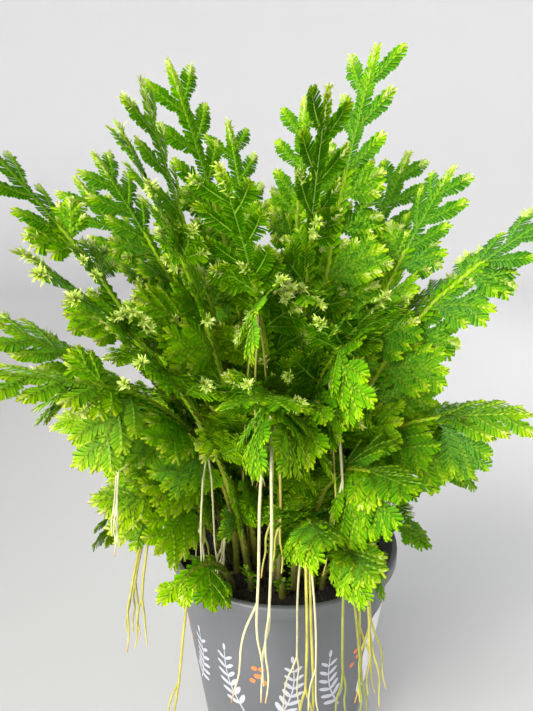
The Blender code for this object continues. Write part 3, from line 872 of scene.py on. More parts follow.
class Recipe:
    """Adds and links the nodes of one material."""

    def __init__(self, name: str) -> None:
        """Starts a material with its Principled shader.

        Args:
            name: The material's name.
        """
        self.material = bpy.data.materials.new(name)
        self.material.use_nodes = True
        self.tree = self.material.node_tree
        self.shader = self.tree.nodes["Principled BSDF"]
        self.output = self.tree.nodes["Material Output"]

    def add(self, kind: str, inputs: dict | None = None, **settings: object) -> bpy.types.Node:
        """Adds a node.

        Args:
            kind: The node's type.
            inputs: A value or a socket for each input, by its name or number.
            **settings: The node's own properties.

        Returns:
            The node.
        """
        node = self.tree.nodes.new(kind)
        for name, value in settings.items():
            setattr(node, name, value)
        for name, value in (inputs or {}).items():
            self.feed(node.inputs[name], value)
        return node

    def feed(self, socket: Socket, value: object) -> None:
        """Sets a socket to a value, or links it to another socket."""
        if isinstance(value, Socket):
            self.tree.links.new(value, socket)
        elif isinstance(value, tuple) and socket.type == "RGBA":
            socket.default_value = (*value[:3], 1)
        else:
            socket.default_value = value

    def set(self, **values: object) -> None:
        """Sets inputs of the Principled shader, with a space for each underscore of their names."""
        for name, value in values.items():
            self.feed(self.shader.inputs[name.replace("_", " ").title().replace("Ior", "IOR")], value)

    def attribute(self, name: str) -> Socket:
        """A number kept on the mesh."""
        return self.add("ShaderNodeAttribute", attribute_name=name).outputs["Fac"]

    def place(self) -> Socket:
        """The Object coordinates."""
        return self.add("ShaderNodeTexCoord").outputs["Object"]

    def speckle(self, scale: float, detail: float = 4, roughness: float = 0.55) -> Socket:
        """Noise over the piece, from 0 to 1."""
        inputs = {"Vector": self.place(), "Scale": scale, "Detail": detail, "Roughness": roughness}
        return self.add("ShaderNodeTexNoise", inputs).outputs["Fac"]

    def maths(
        self, operation: str, first: object, second: object = 0.0, clamp: bool = False
    ) -> Socket:
        """A sum, product or other operation on two numbers."""
        node = self.add("ShaderNodeMath", {0: first, 1: second}, operation=operation, use_clamp=clamp)
        return node.outputs[0]

    def spread(
        self, value: object, low: float, high: float, to_low: float = 0, to_high: float = 1
    ) -> Socket:
        """Maps a range of numbers onto another, held within it."""
        inputs = {"Value": value, "From Min": low, "From Max": high, "To Min": to_low, "To Max": to_high}
        return self.add("ShaderNodeMapRange", inputs).outputs["Result"]

    def ramp(self, factor: object, stops: Stops) -> Socket:
        """A colour that runs through stops."""
        node = self.add("ShaderNodeValToRGB", {"Fac": factor})
        elements = node.color_ramp.elements
        while len(elements) < len(stops):
            elements.new(0.5)
        for element, (place, colour) in zip(elements, stops):
            element.position = place
            element.color = (*colour, 1)
        return node.outputs["Color"]

    def blend(self, factor: object, first: object, second: object, kind: str = "MIX") -> Socket:
        """Two colours mixed."""
        node = self.add("ShaderNodeMix", data_type="RGBA", blend_type=kind, clamp_factor=True)
        self.feed(node.inputs["Factor"], factor)
        self.feed(node.inputs[6], first)
        self.feed(node.inputs[7], second)
        return node.outputs[2]

    def shaded(self, colour: object, factor: object) -> Socket:
        """A colour made darker or lighter by a number."""
        grey = self.add("ShaderNodeCombineColor", {0: factor, 1: factor, 2: factor}).outputs[0]
        return self.blend(1.0, colour, grey, "MULTIPLY")

    def bump(self, height: Socket, strength: float, distance: float) -> None:
        """Roughens the shader's surface by a height."""
        inputs = {"Height": height, "Strength": strength, "Distance": distance}
        self.feed(self.shader.inputs["Normal"], self.add("ShaderNodeBump", inputs).outputs["Normal"])

    def let_light_through(self, colour: object, share: float) -> None:
        """Mixes the shader with light that shines through from behind.

        Args:
            colour: The colour of that light.
            share: How much of the surface it makes up.
        """
        through = self.add("ShaderNodeBsdfTranslucent", {"Color": colour})
        mixed = self.add("ShaderNodeMixShader", {0: share, 1: self.shader.outputs[0], 2: through.outputs[0]})
        self.feed(self.output.inputs["Surface"], mixed.outputs[0])


class Finish:
    """A finish with a name, which mixes its own recipe."""

    name: str

    def material(self) -> Material:
        """Makes the material."""
        recipe = Recipe(self.name)
        self.mix(recipe)
        return recipe.material


@dataclass(frozen=True)
class LeafFinish(Finish):
    """Thin leaves that pale from deep green to cream with youth, bluer above than below from a painted bluish
    sheen on their upper faces, with painted shade on the part under the next leaf and a painted highlight
    along one edge.
    """

    name: str
    above: Stops
    below: Stops
    through: Stops
    roughness: float
    share_through: float
    # painted sheen: a bluish-green tint in the upper faces' colour that stands in for reflected light; on the
    # right-hand sprays it also darkens them as painted shade
    bloom_colour: Triple = (0.07, 0.27, 0.07)
    bloom_share: float = 0.8
    shine: float = 0.07
    shine_colour: Triple = (0.95, 1.0, 0.2)
    # painted highlight: a pale yellow-green band along one edge of each leaf
    edge_colour: Triple = (0.46, 0.68, 0.02)
    tucked: Triple = (0.40, 0.92, 0.2)  # start, end and darkness of the painted shade on the part under the next leaf
    tip_youth: Pair = (-0.06, 0.1)
    shade_youth: Pair = (-0.08, 0.08)
    cell_scale: float = 1400
    cells: Pair = (0.82, 1.14)
    edge_place: Pair = (0.04, 0.26)
    edge_share: float = 0.45
    ridge_width: float = 0.2

    def mix(self, recipe: Recipe) -> None:
        """Mixes the finish."""
        across, along = self.across_and_along(recipe)
        shade = recipe.attribute("shade")
        youth = recipe.maths("ADD", recipe.attribute("youth"), recipe.spread(along, 0, 1, *self.tip_youth))
        youth = recipe.maths("ADD", youth, recipe.spread(shade, 0, 1, *self.shade_youth), clamp=True)
        # painted sheen: the tint of reflected light, mixed into the upper faces' colour only
        bloom = recipe.maths("MULTIPLY", recipe.attribute("bloom"), self.bloom_share)
        above = recipe.blend(bloom, recipe.ramp(youth, self.above), self.bloom_colour)
        colour = recipe.blend(recipe.attribute("underside"), above, recipe.ramp(youth, self.below))
        grain = recipe.spread(recipe.speckle(self.cell_scale, 2), 0.3, 0.7, *self.cells)
        colour = recipe.shaded(colour, grain)
        # painted shade on the part of each leaf that lies under the next one
        low, high, darkest = self.tucked
        colour = recipe.shaded(colour, recipe.spread(across, low, high, 1.0, darkest))
        # painted highlight along one edge of each leaf
        edge_highlight = recipe.spread(across, *self.edge_place, self.edge_share, 0.0)
        colour = recipe.blend(edge_highlight, colour, self.edge_colour)
        recipe.set(base_color=colour, roughness=self.roughness, specular_ior_level=self.shine)
        recipe.set(specular_tint=self.shine_colour)
        from_middle = recipe.maths("ABSOLUTE", recipe.maths("SUBTRACT", across, 0.5))
        ridge = recipe.spread(from_middle, 0.0, self.ridge_width, 1.0, 0.0)
        recipe.bump(recipe.maths("ADD", ridge, recipe.speckle(2600, 2)), 0.35, 0.08 * MM)
        recipe.let_light_through(recipe.ramp(youth, self.through), self.share_through)

    @staticmethod
    def across_and_along(recipe: Recipe) -> tuple[Socket, Socket]:
        """The place across and along each leaf, from its UV map."""
        uv = recipe.add("ShaderNodeUVMap", uv_map="leaf").outputs["UV"]
        parts = recipe.add("ShaderNodeSeparateXYZ", {0: uv})
        return parts.outputs["X"], parts.outputs["Y"]


SIDE_LEAVES = LeafFinish(
    "side_leaves",
    above=(
        (0.0, (0.042, 0.215, 0.001)),
        (0.35, (0.155, 0.45, 0.001)),
        (0.6, (0.38, 0.67, 0.002)),
        (0.8, (0.68, 0.83, 0.03)),
        (1.0, (0.92, 0.94, 0.32)),
    ),
    below=(
        (0.0, (0.052, 0.23, 0.001)),
        (0.35, (0.175, 0.44, 0.001)),
        (0.6, (0.36, 0.60, 0.004)),
        (0.8, (0.64, 0.80, 0.02)),
        (1.0, (0.90, 0.92, 0.34)),
    ),
    through=(
        (0.0, (0.10, 0.48, 0.001)),
        (0.5, (0.44, 0.84, 0.001)),
        (1.0, (0.96, 0.97, 0.28)),
    ),
    roughness=0.42,
    share_through=0.2,
)

MIDDLE_LEAVES = LeafFinish(
    "middle_leaves",
    above=(
        (0.0, (0.15, 0.45, 0.005)),
        (0.4, (0.34, 0.62, 0.01)),
        (0.75, (0.60, 0.82, 0.05)),
        (1.0, (0.84, 0.96, 0.30)),
    ),
    below=(
        (0.0, (0.09, 0.28, 0.005)),
        (0.5, (0.30, 0.54, 0.01)),
        (1.0, (0.80, 0.94, 0.30)),
    ),
    through=(
        (0.0, (0.20, 0.60, 0.005)),
        (1.0, (0.85, 0.97, 0.28)),
    ),
    roughness=0.45,
    share_through=0.2,
    tucked=(0.40, 0.95, 0.72),
)


@dataclass(frozen=True)
class StalkFinish(Finish):
    """Yellow-olive stalks, browner near the soil and greener at the tips."""

    name: str
    stops: Stops
    low: float = 70 * MM
    high: float = 235 * MM

    def mix(self, recipe: Recipe) -> None:
        """Mixes the finish."""
        height = recipe.add("ShaderNodeSeparateXYZ", {0: recipe.place()}).outputs["Z"]
        level = recipe.spread(height, self.low, self.high)
        cloud = recipe.spread(recipe.speckle(120), 0.3, 0.7, -0.12, 0.12)
        level = recipe.maths("ADD", level, cloud, clamp=True)
        recipe.set(base_color=recipe.ramp(level, self.stops), roughness=0.45)
        recipe.set(coat_weight=0.1, coat_roughness=0.4)
        recipe.bump(recipe.speckle(1500, 3), 0.4, 0.1 * MM)
        recipe.let_light_through((0.6, 0.68, 0.06), 0.15)


STALKS = StalkFinish(
    "stalk",
    (
        (0.0, (0.15, 0.14, 0.03)),
        (0.2, (0.30, 0.30, 0.03)),
        (0.5, (0.34, 0.40, 0.03)),
        (1.0, (0.27, 0.45, 0.03)),
    ),
)
RIBS = StalkFinish("rib", ((0.0, (0.12, 0.28, 0.01)), (0.5, (0.18, 0.38, 0.015)), (1.0, (0.24, 0.44, 0.02))))


@dataclass(frozen=True)
class RootFinish(Finish):
    """Smooth waxy aerial roots, with a browner foot, paler near the end, and orange at the very tip."""

    tone: RootTone
    tip: Triple = (0.62, 0.26, 0.05)

    @property
    def name(self) -> str:
        """The material's name."""
        return f"aerial_root_{self.tone.name.lower()}"

    def mix(self, recipe: Recipe) -> None:
        """Mixes the finish."""
        run = recipe.attribute("run")
        body = self.tone.value
        foot = tuple(channel * 0.55 for channel in body)
        pale = tuple(min(1.0, channel * 1.15 + 0.06) for channel in body)
        colour = recipe.ramp(run, ((0.0, foot), (0.12, body), (0.8, body), (0.92, pale), (1.0, self.tip)))
        bands = recipe.spread(recipe.speckle(260), 0.35, 0.65, 0.78, 1.1)
        recipe.set(base_color=recipe.shaded(colour, bands), roughness=0.36)
        recipe.set(coat_weight=0.2, coat_roughness=0.3)
        recipe.bump(recipe.speckle(1100, 3), 0.25, 0.08 * MM)
        recipe.let_light_through(tuple(min(1.0, channel * 1.3) for channel in body), 0.2)


@dataclass(frozen=True)
class PlasticFinish(Finish):
    """Cool grey moulded plastic, satin, with dust in its grain and peat smudged on by handling."""

    name: str = "grey_plastic"
    colour: Triple = (0.116, 0.121, 0.130)
    smudges: tuple[Triple, ...] = (  # bearing in degrees, height and radius in millimetres
        (322, 66, 4.2),
        (330, 71, 3.0),
        (338, 64, 2.6),
        (262, 72.5, 1.8),
    )
    peat: Triple = (0.13, 0.085, 0.045)

    def mix(self, recipe: Recipe) -> None:
        """Mixes the finish."""
        cloud = recipe.spread(recipe.speckle(38, 5, 0.6), 0.3, 0.7, 0.0, 1.0)
        pale = tuple(channel * 1.10 for channel in self.colour)
        deep = tuple(channel * 0.92 for channel in self.colour)
        colour = recipe.blend(cloud, deep, pale)
        grime = self.grime(recipe)
        colour = recipe.blend(grime, colour, self.peat)
        recipe.set(base_color=colour)
        satin = recipe.spread(cloud, 0, 1, 0.34, 0.46)
        recipe.set(roughness=recipe.maths("ADD", satin, recipe.maths("MULTIPLY", grime, 0.4)))
        recipe.bump(recipe.speckle(2400, 3), 0.12, 0.06 * MM)

    def grime(self, recipe: Recipe) -> Socket:
        """The share of the surface that peat covers: broken spots, and fine dust all over."""
        broken = recipe.spread(recipe.speckle(520, 6, 0.7), 0.5, 0.62)
        total: object = 0.0
        for bearing, height, radius in self.smudges:
            centre = polar(bearing, POT.side_radius(height * MM), height * MM)
            ends = {0: recipe.place(), 1: tuple(centre)}
            apart = recipe.add("ShaderNodeVectorMath", ends, operation="DISTANCE")
            near = recipe.spread(apart.outputs["Value"], radius * MM * 0.3, radius * MM, 1, 0)
            total = recipe.maths("MAXIMUM", near, total)
        spots = recipe.maths("MULTIPLY", total, broken)
        dust = recipe.spread(recipe.speckle(1900, 2), 0.66, 0.74, 0.0, 0.35)
        return recipe.maths("MAXIMUM", spots, dust)


@dataclass(frozen=True)
class PeatFinish(Finish):
    """Moist dark peat, or one of the crumbs and chips in it."""

    name: str
    dark: Triple
    light: Triple

    def mix(self, recipe: Recipe) -> None:
        """Mixes the finish."""
        grain = recipe.speckle(700, 6, 0.65)
        colour = recipe.blend(recipe.spread(grain, 0.42, 0.68), self.dark, self.light)
        recipe.set(base_color=colour, roughness=recipe.spread(grain, 0.3, 0.7, 0.7, 0.98))
        recipe.bump(recipe.speckle(1500, 6, 0.7), 0.9, 0.5 * MM)


@dataclass(frozen=True)
class PaperFinish(Finish):
    """Smooth white label paper with faint fibres."""

    name: str = "label_paper_white"

    def mix(self, recipe: Recipe) -> None:
        """Mixes the finish."""
        fibre = recipe.speckle(900, 5, 0.7)
        colour = recipe.blend(recipe.spread(fibre, 0.3, 0.7), (0.78, 0.78, 0.80), (0.86, 0.86, 0.88))
        recipe.set(base_color=colour, roughness=0.5)
        recipe.bump(fibre, 0.1, 0.05 * MM)


@dataclass(frozen=True)
class InkFinish(Finish):
    """Screen-printed ink, a little worn."""

    name: str
    colour: Triple

    def mix(self, recipe: Recipe) -> None:
        """Mixes the finish."""
        worn = recipe.spread(recipe.speckle(1300, 5, 0.7), 0.56, 0.74, 0.0, 0.6)
        recipe.set(base_color=recipe.blend(worn, self.colour, PlasticFinish.colour), roughness=0.5)
        recipe.bump(recipe.speckle(2400, 3), 0.12, 0.05 * MM)


@dataclass(frozen=True)
class StudioFinish(Finish):
    """The pale sweep that the plant stands on, with painted light: painted shade near the plant that pales
    towards the far wall, and near the plant painted light on its right, where its shadow falls, and painted
    shade on its left.
    """

    name: str = "pale_sweep"
    # painted shade near the plant, paler further off, evening out the lamps' falloff
    near: Triple = (0.475, 0.475, 0.48)
    middle: Triple = (0.63, 0.63, 0.635)
    far: Triple = (0.785, 0.785, 0.80)
    fade: Pair = (0.2, 1.6)
    sides: Pair = (-0.3, 0.3)
    # painted light near the plant: lighter on the right, where the plant's shadow falls, darker on the left
    lifts: Pair = (-0.25, 0.83)

    def mix(self, recipe: Recipe) -> None:
        """Mixes the finish."""
        depth = recipe.add("ShaderNodeVectorMath", {0: recipe.place()}, operation="LENGTH").outputs["Value"]
        share = recipe.spread(depth, *self.fade)
        across = recipe.add("ShaderNodeSeparateXYZ", {0: recipe.place()}).outputs["X"]
        nearness = recipe.maths("SUBTRACT", 1.0, share)
        # painted light and shade by side, fading out away from the plant
        lift = recipe.maths("MULTIPLY", recipe.spread(across, *self.sides, *self.lifts), nearness)
        colour = recipe.ramp(share, ((0.0, self.near), (0.6, self.middle), (1.0, self.far)))
        recipe.set(base_color=recipe.shaded(colour, recipe.maths("ADD", lift, 1.0)))
        recipe.set(roughness=0.85)


# Pieces


def dress(piece: Object, slot: Slot, *nodes: str) -> Object:
    """Puts a finished piece in the frame.

    Args:
        piece: The piece.
        slot: The slot of its finish, which is not used.
        *nodes: The solids that it stands for.

    Returns:
        The piece.
    """
    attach(piece, BODY)
    if nodes:
        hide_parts(*nodes)
    piece.data.calc_loop_triangles()
    LOG.info("%s: %d triangles", piece.name, len(piece.data.loop_triangles))
    return piece


def linked(name: str, mesh: Mesh, *materials: Material) -> Object:
    """Makes an object of a mesh.

    Args:
        name: The object's name.
        mesh: Its mesh.
        *materials: Its materials, in the order of its slots.

    Returns:
        The object.
    """
    mesh.name = name
    for material in materials:
        mesh.materials.append(material)
    made = bpy.data.objects.new(name, mesh)
    bpy.context.scene.collection.objects.link(made)
    return made


def smoothed(mesh: Mesh, sharp: float) -> Mesh:
    """Shades a mesh smooth, apart from edges that turn by more than so many degrees."""
    mesh.shade_smooth()
    mesh.set_sharp_from_angle(angle=math.radians(sharp))
    return mesh


def meshed(bm: BMesh, name: str) -> Mesh:
    """Makes a mesh of a working mesh, which is then freed."""
    mesh = bpy.data.meshes.new(name)
    bm.to_mesh(mesh)
    bm.free()
    return mesh


def tubes(lines: list[Drawn], resolution: int, smooth: bool = False) -> Mesh:
    """Makes capped tubes.

    Args:
        lines: The points of each tube with its radius there.
        resolution: The roundness of a tube, where 0 gives four sides.
        smooth: True to run smoothly through the points and False to run straight between them.

    Returns:
        The mesh of all the tubes.
    """
    curve = bpy.data.curves.new("tubes", "CURVE")
    curve.dimensions = "3D"
    curve.bevel_depth = 1.0
    curve.bevel_resolution = resolution
    curve.resolution_u = 4
    curve.use_fill_caps = True
    for line in lines:
        spline = curve.splines.new("BEZIER" if smooth else "POLY")
        points = spline.bezier_points if smooth else spline.points
        points.add(len(line) - 1)
        for point, (at, radius) in zip(points, line):
            point.co = at if smooth else (*at, 1)
            point.radius = radius
            if smooth:
                point.handle_left_type = point.handle_right_type = "AUTO"
    guide = bpy.data.objects.new("tubes", curve)
    bpy.context.scene.collection.objects.link(guide)
    bpy.context.view_layer.update()
    mesh = bpy.data.meshes.new_from_object(guide.evaluated_get(bpy.context.evaluated_depsgraph_get()))
    bpy.data.objects.remove(guide)
    bpy.data.curves.remove(curve)
    return mesh


@dataclass(frozen=True)
class LeafPlaces:
    """Where leaves sit, one row for each: place, direction, the way the upper face looks, size and colour."""

    at: np.ndarray
    along: np.ndarray
    up: np.ndarray
    length: np.ndarray
    width: np.ndarray
    youth: np.ndarray
    shade: np.ndarray
    # share of painted bluish sheen on each leaf
    bloom: np.ndarray
    hand: np.ndarray  # 1 on the left of its line and -1 on the right

    @classmethod
    def together(cls, groups: list["LeafPlaces"]) -> "LeafPlaces":
        """Joins groups of leaves into one."""
        names = cls.__annotations__
        return cls(*(np.concatenate([getattr(group, name) for group in groups]) for name in names))

    def inside(self, box: tuple[Vector, Vector]) -> "LeafPlaces":
        """Keeps the leaves whose tips lie in a box.

        Args:
            box: The lowest and highest corners.

        Returns:
            The leaves that stay.
        """
        tips = self.at + self.along * self.length[:, None]
        low, high = (np.array(tuple(corner)) for corner in box)
        keep = np.all((tips > low) & (tips < high), axis=1)
        return LeafPlaces(*(getattr(self, name)[keep] for name in self.__annotations__))


class LeafShape:
    """A thin leaf with a raised middle, one unit long along +Y, one wide and facing +Z."""

    def __init__(self, half: tuple[Pair, ...], rise: float, droop: float) -> None:
        """Shapes the leaf.

        Args:
            half: (Half width, place along) of the outline's points on one side, from foot to tip. The leaf
                starts in a point unless the first is at its foot, and ends in one if the last has no width.
            rise: How far the middle stands over the edges.
            droop: How far the tip hangs under the foot.
        """
        bm = bmesh.new()
        left = [(-across, along) for across, along in reversed(half) if across > 0]
        foot = [(0.0, 0.0)] if half[0][1] > 0 else []
        outline = [*foot, *half, *left]
        ring = [bm.verts.new((across, along, -droop * along**2)) for across, along in outline]
        centre = bmesh.ops.poke(bm, faces=[bm.faces.new(ring)])["verts"][0]
        centre.co.z += rise
        bmesh.ops.triangulate(bm, faces=[bm.faces.new(list(reversed(ring)))])
        bm.normal_update()
        bm.verts.index_update()
        self.points = np.array([tuple(vert.co) for vert in bm.verts])
        self.faces = np.array([[vert.index for vert in face.verts] for face in bm.faces])
        self.underside = np.array([1.0 if face.normal.z < 0 else 0.0 for face in bm.faces])
        bm.free()

    def copies(self, places: LeafPlaces) -> np.ndarray:
        """The points of a copy of the leaf at each place."""
        across = np.cross(places.along, places.up)
        points = places.at[:, None, :]
        points = points + self.points[None, :, 0, None] * (across * places.width[:, None])[:, None, :]
        points = points + self.points[None, :, 1, None] * (places.along * places.length[:, None])[:, None, :]
        return points + self.points[None, :, 2, None] * (places.up * places.length[:, None])[:, None, :]


SIDE_LEAF = LeafShape(((0.42, 0.0), (0.46, 0.88)), rise=0.07, droop=0.12)
MIDDLE_LEAF = LeafShape(((0.5, 0.38), (0.0, 1.0)), rise=0.06, droop=0.05)


class PieceMesh:
    """Gathers the triangles of one piece, with the numbers that its finishes read."""

    SHARP = 70

    def __init__(self) -> None:
        """Starts with no triangles."""
        self.points: list[np.ndarray] = []
        self.faces: list[np.ndarray] = []
        self.leaf_uv: list[np.ndarray] = []
        self.slots: list[np.ndarray] = []
        self.numbers: dict[str, list[np.ndarray]] = {"youth": [], "shade": [], "bloom": [], "underside": []}
        self.count = 0

    def take(
        self, points: np.ndarray, faces: np.ndarray, uv: np.ndarray, slot: int, **numbers: np.ndarray
    ) -> None:
        """Takes in triangles.

        Args:
            points: The corners, one row for each.
            faces: Three corners for each triangle.
            uv: A place across and along the leaf for each corner of each triangle.
            slot: The material slot.
            **numbers: A number for each triangle, under each name.
        """
        self.points.append(points)
        self.faces.append(faces + self.count)
        self.leaf_uv.append(uv)
        self.slots.append(np.full(len(faces), slot, np.int32))
        for name, kept in self.numbers.items():
            kept.append(numbers.get(name, np.zeros(len(faces))))
        self.count += len(points)

    def add_leaves(self, shape: LeafShape, places: LeafPlaces, slot: int) -> None:
        """Adds a copy of a leaf at each place.

        Args:
            shape: The leaf.
            places: Where the copies sit.
            slot: Their material slot.
        """
        copies, corners, each = len(places.at), len(shape.points), len(shape.faces)
        points = shape.copies(places).reshape(-1, 3)
        faces = (shape.faces[None] + (np.arange(copies) * corners)[:, None, None]).reshape(-1, 3)
        uv = np.tile(shape.points[shape.faces][None, :, :, :2], (copies, 1, 1, 1))
        uv[..., 0] = 0.5 + uv[..., 0] * places.hand[:, None, None]
        self.take(
            points,
            faces,
            uv.reshape(-1, 2),
            slot,
            youth=np.repeat(places.youth, each),
            shade=np.repeat(places.shade, each),
            bloom=np.repeat(places.bloom, each),
            underside=np.tile(shape.underside, copies),
        )

    def add_mesh(self, mesh: Mesh, slot: int) -> None:
        """Adds a mesh, which is then removed."""
        mesh.calc_loop_triangles()
        points = np.zeros(len(mesh.vertices) * 3, np.float32)
        mesh.vertices.foreach_get("co", points)
        faces = np.zeros(len(mesh.loop_triangles) * 3, np.int32)
        mesh.loop_triangles.foreach_get("vertices", faces)
        self.take(points.reshape(-1, 3), faces.reshape(-1, 3), np.zeros((len(faces), 2)), slot)
        bpy.data.meshes.remove(mesh)

    def finished(self, name: str, *materials: Material) -> Object:
        """Makes the piece.

        Args:
            name: Its name.
            *materials: Its materials, in the order of the slots.

        Returns:
            The object.
        """
        points, faces = np.concatenate(self.points), np.concatenate(self.faces)
        mesh = bpy.data.meshes.new(name)
        mesh.vertices.add(len(points))
        mesh.vertices.foreach_set("co", points.astype(np.float32).ravel())
        mesh.loops.add(faces.size)
        mesh.loops.foreach_set("vertex_index", faces.astype(np.int32).ravel())
        mesh.polygons.add(len(faces))
        mesh.polygons.foreach_set("loop_start", np.arange(0, faces.size, 3, dtype=np.int32))
        mesh.polygons.foreach_set("material_index", np.concatenate(self.slots))
        mesh.update(calc_edges=True)
        for number, kept in self.numbers.items():
            layer = mesh.attributes.new(number, "FLOAT", "FACE")
            layer.data.foreach_set("value", np.concatenate(kept).astype(np.float32))
        layer = mesh.uv_layers.new(name="leaf")
        layer.data.foreach_set("uv", np.concatenate(self.leaf_uv).astype(np.float32).ravel())
        return linked(name, smoothed(mesh, self.SHARP), *materials)


@dataclass(frozen=True)
class Leafing:
    """How a line is set with leaves on both sides, from its foot to its tip."""

    pitch: float
    first: float  # share of the line at which they begin
    length: float
    width: float
    foot_angle: float
    tip_angle: float
    foot_size: float
    tip_size: float
    shingle: float  # degrees that each leaf is turned about its own length, forward edge down
    droop: float  # degrees that each leaf hangs under the line's face

    FULL = 0.5
    TURN_LATENESS = 3.6
    RIPE_FROM = 0.4
    RIPE_POWER = 2.3

    def sizes(self, progress: np.ndarray) -> np.ndarray:
        """The size of a leaf at each share of the leafy part, full between a smaller foot and tip."""
        rise = self.foot_size + (1 - self.foot_size) * np.clip(progress / self.FULL, 0, 1)
        fall = 1 - (1 - self.tip_size) * np.clip((progress - self.FULL) / (1 - self.FULL), 0, 1) ** 2
        return rise * fall

    def places(
        self, line: Line, youth: Pair, bloom: float, rng: np.random.Generator
    ) -> LeafPlaces:
        """Places the leaves.

        Args:
            line: What they grow from.
            youth: How young they are at the foot and at the tip, from 0 to 1.
            bloom: How much painted bluish sheen, standing for reflected light, they have, from 0 to 1.
            rng: Draws their small differences.

        Returns:
            The leaves' places.
        """
        count = max(3, round(line.length * (1 - self.first) / self.pitch))
        progress = np.concatenate([(np.arange(count) + offset) / count for offset in (0.1, 0.6)])
        side = np.repeat((1.0, -1.0), count)[:, None]
        stations = line.frames(self.first + (1 - self.first) * progress)
        angle = self.foot_angle + (self.tip_angle - self.foot_angle) * progress**self.TURN_LATENESS
        angle = np.radians(angle + rng.normal(0, 3, 2 * count))[:, None]
        along = stations.heading * np.cos(angle) + stations.side * side * np.sin(angle)
        dip = np.radians(self.droop + rng.normal(0, 4, 2 * count))[:, None]
        along = unit(along * np.cos(dip) - stations.face * np.sin(dip))
        up = unit(stations.face - along * np.sum(stations.face * along, axis=1, keepdims=True))
        roll = np.radians(self.shingle + rng.normal(0, 4, 2 * count))[:, None] * side
        up = up * np.cos(roll) + np.cross(along, up) * np.sin(roll)
        size = self.sizes(progress) * rng.uniform(0.9, 1.08, 2 * count)
        ripe = np.clip((progress - self.RIPE_FROM) / (1 - self.RIPE_FROM), 0, 1) ** self.RIPE_POWER
        return LeafPlaces(
            stations.at,
            along,
            up,
            self.length * size,
            self.width * size**0.6,
            np.clip(youth[0] + (youth[1] - youth[0]) * ripe + rng.normal(0, 0.03, 2 * count), 0, 1),
            rng.uniform(0, 1, 2 * count),
            bloom * np.clip(1.1 - progress, 0, 1),
            side[:, 0],
        )


LOBE_SIDES = Leafing(0.88 * MM, 0.05, 3.9 * MM, 1.25 * MM, 60, 16, 0.5, 0.62, 9, 6)
RIB_SIDES = Leafing(0.92 * MM, 0.07, 3.8 * MM, 1.25 * MM, 58, 16, 0.5, 0.62, 9, 4)
STALK_SIDES = Leafing(2.4 * MM, 0.04, 4.0 * MM, 2.2 * MM, 52, 40, 0.6, 1.0, 10, 0)
LINE_MIDDLES = Leafing(1.7 * MM, 0.06, 1.6 * MM, 1.0 * MM, 26, 12, 0.9, 0.8, -20, -10)
STALK_SCALES = Leafing(2.8 * MM, 0.0, 3.0 * MM, 1.25 * MM, 18, 14, 0.9, 0.9, -50, -8)


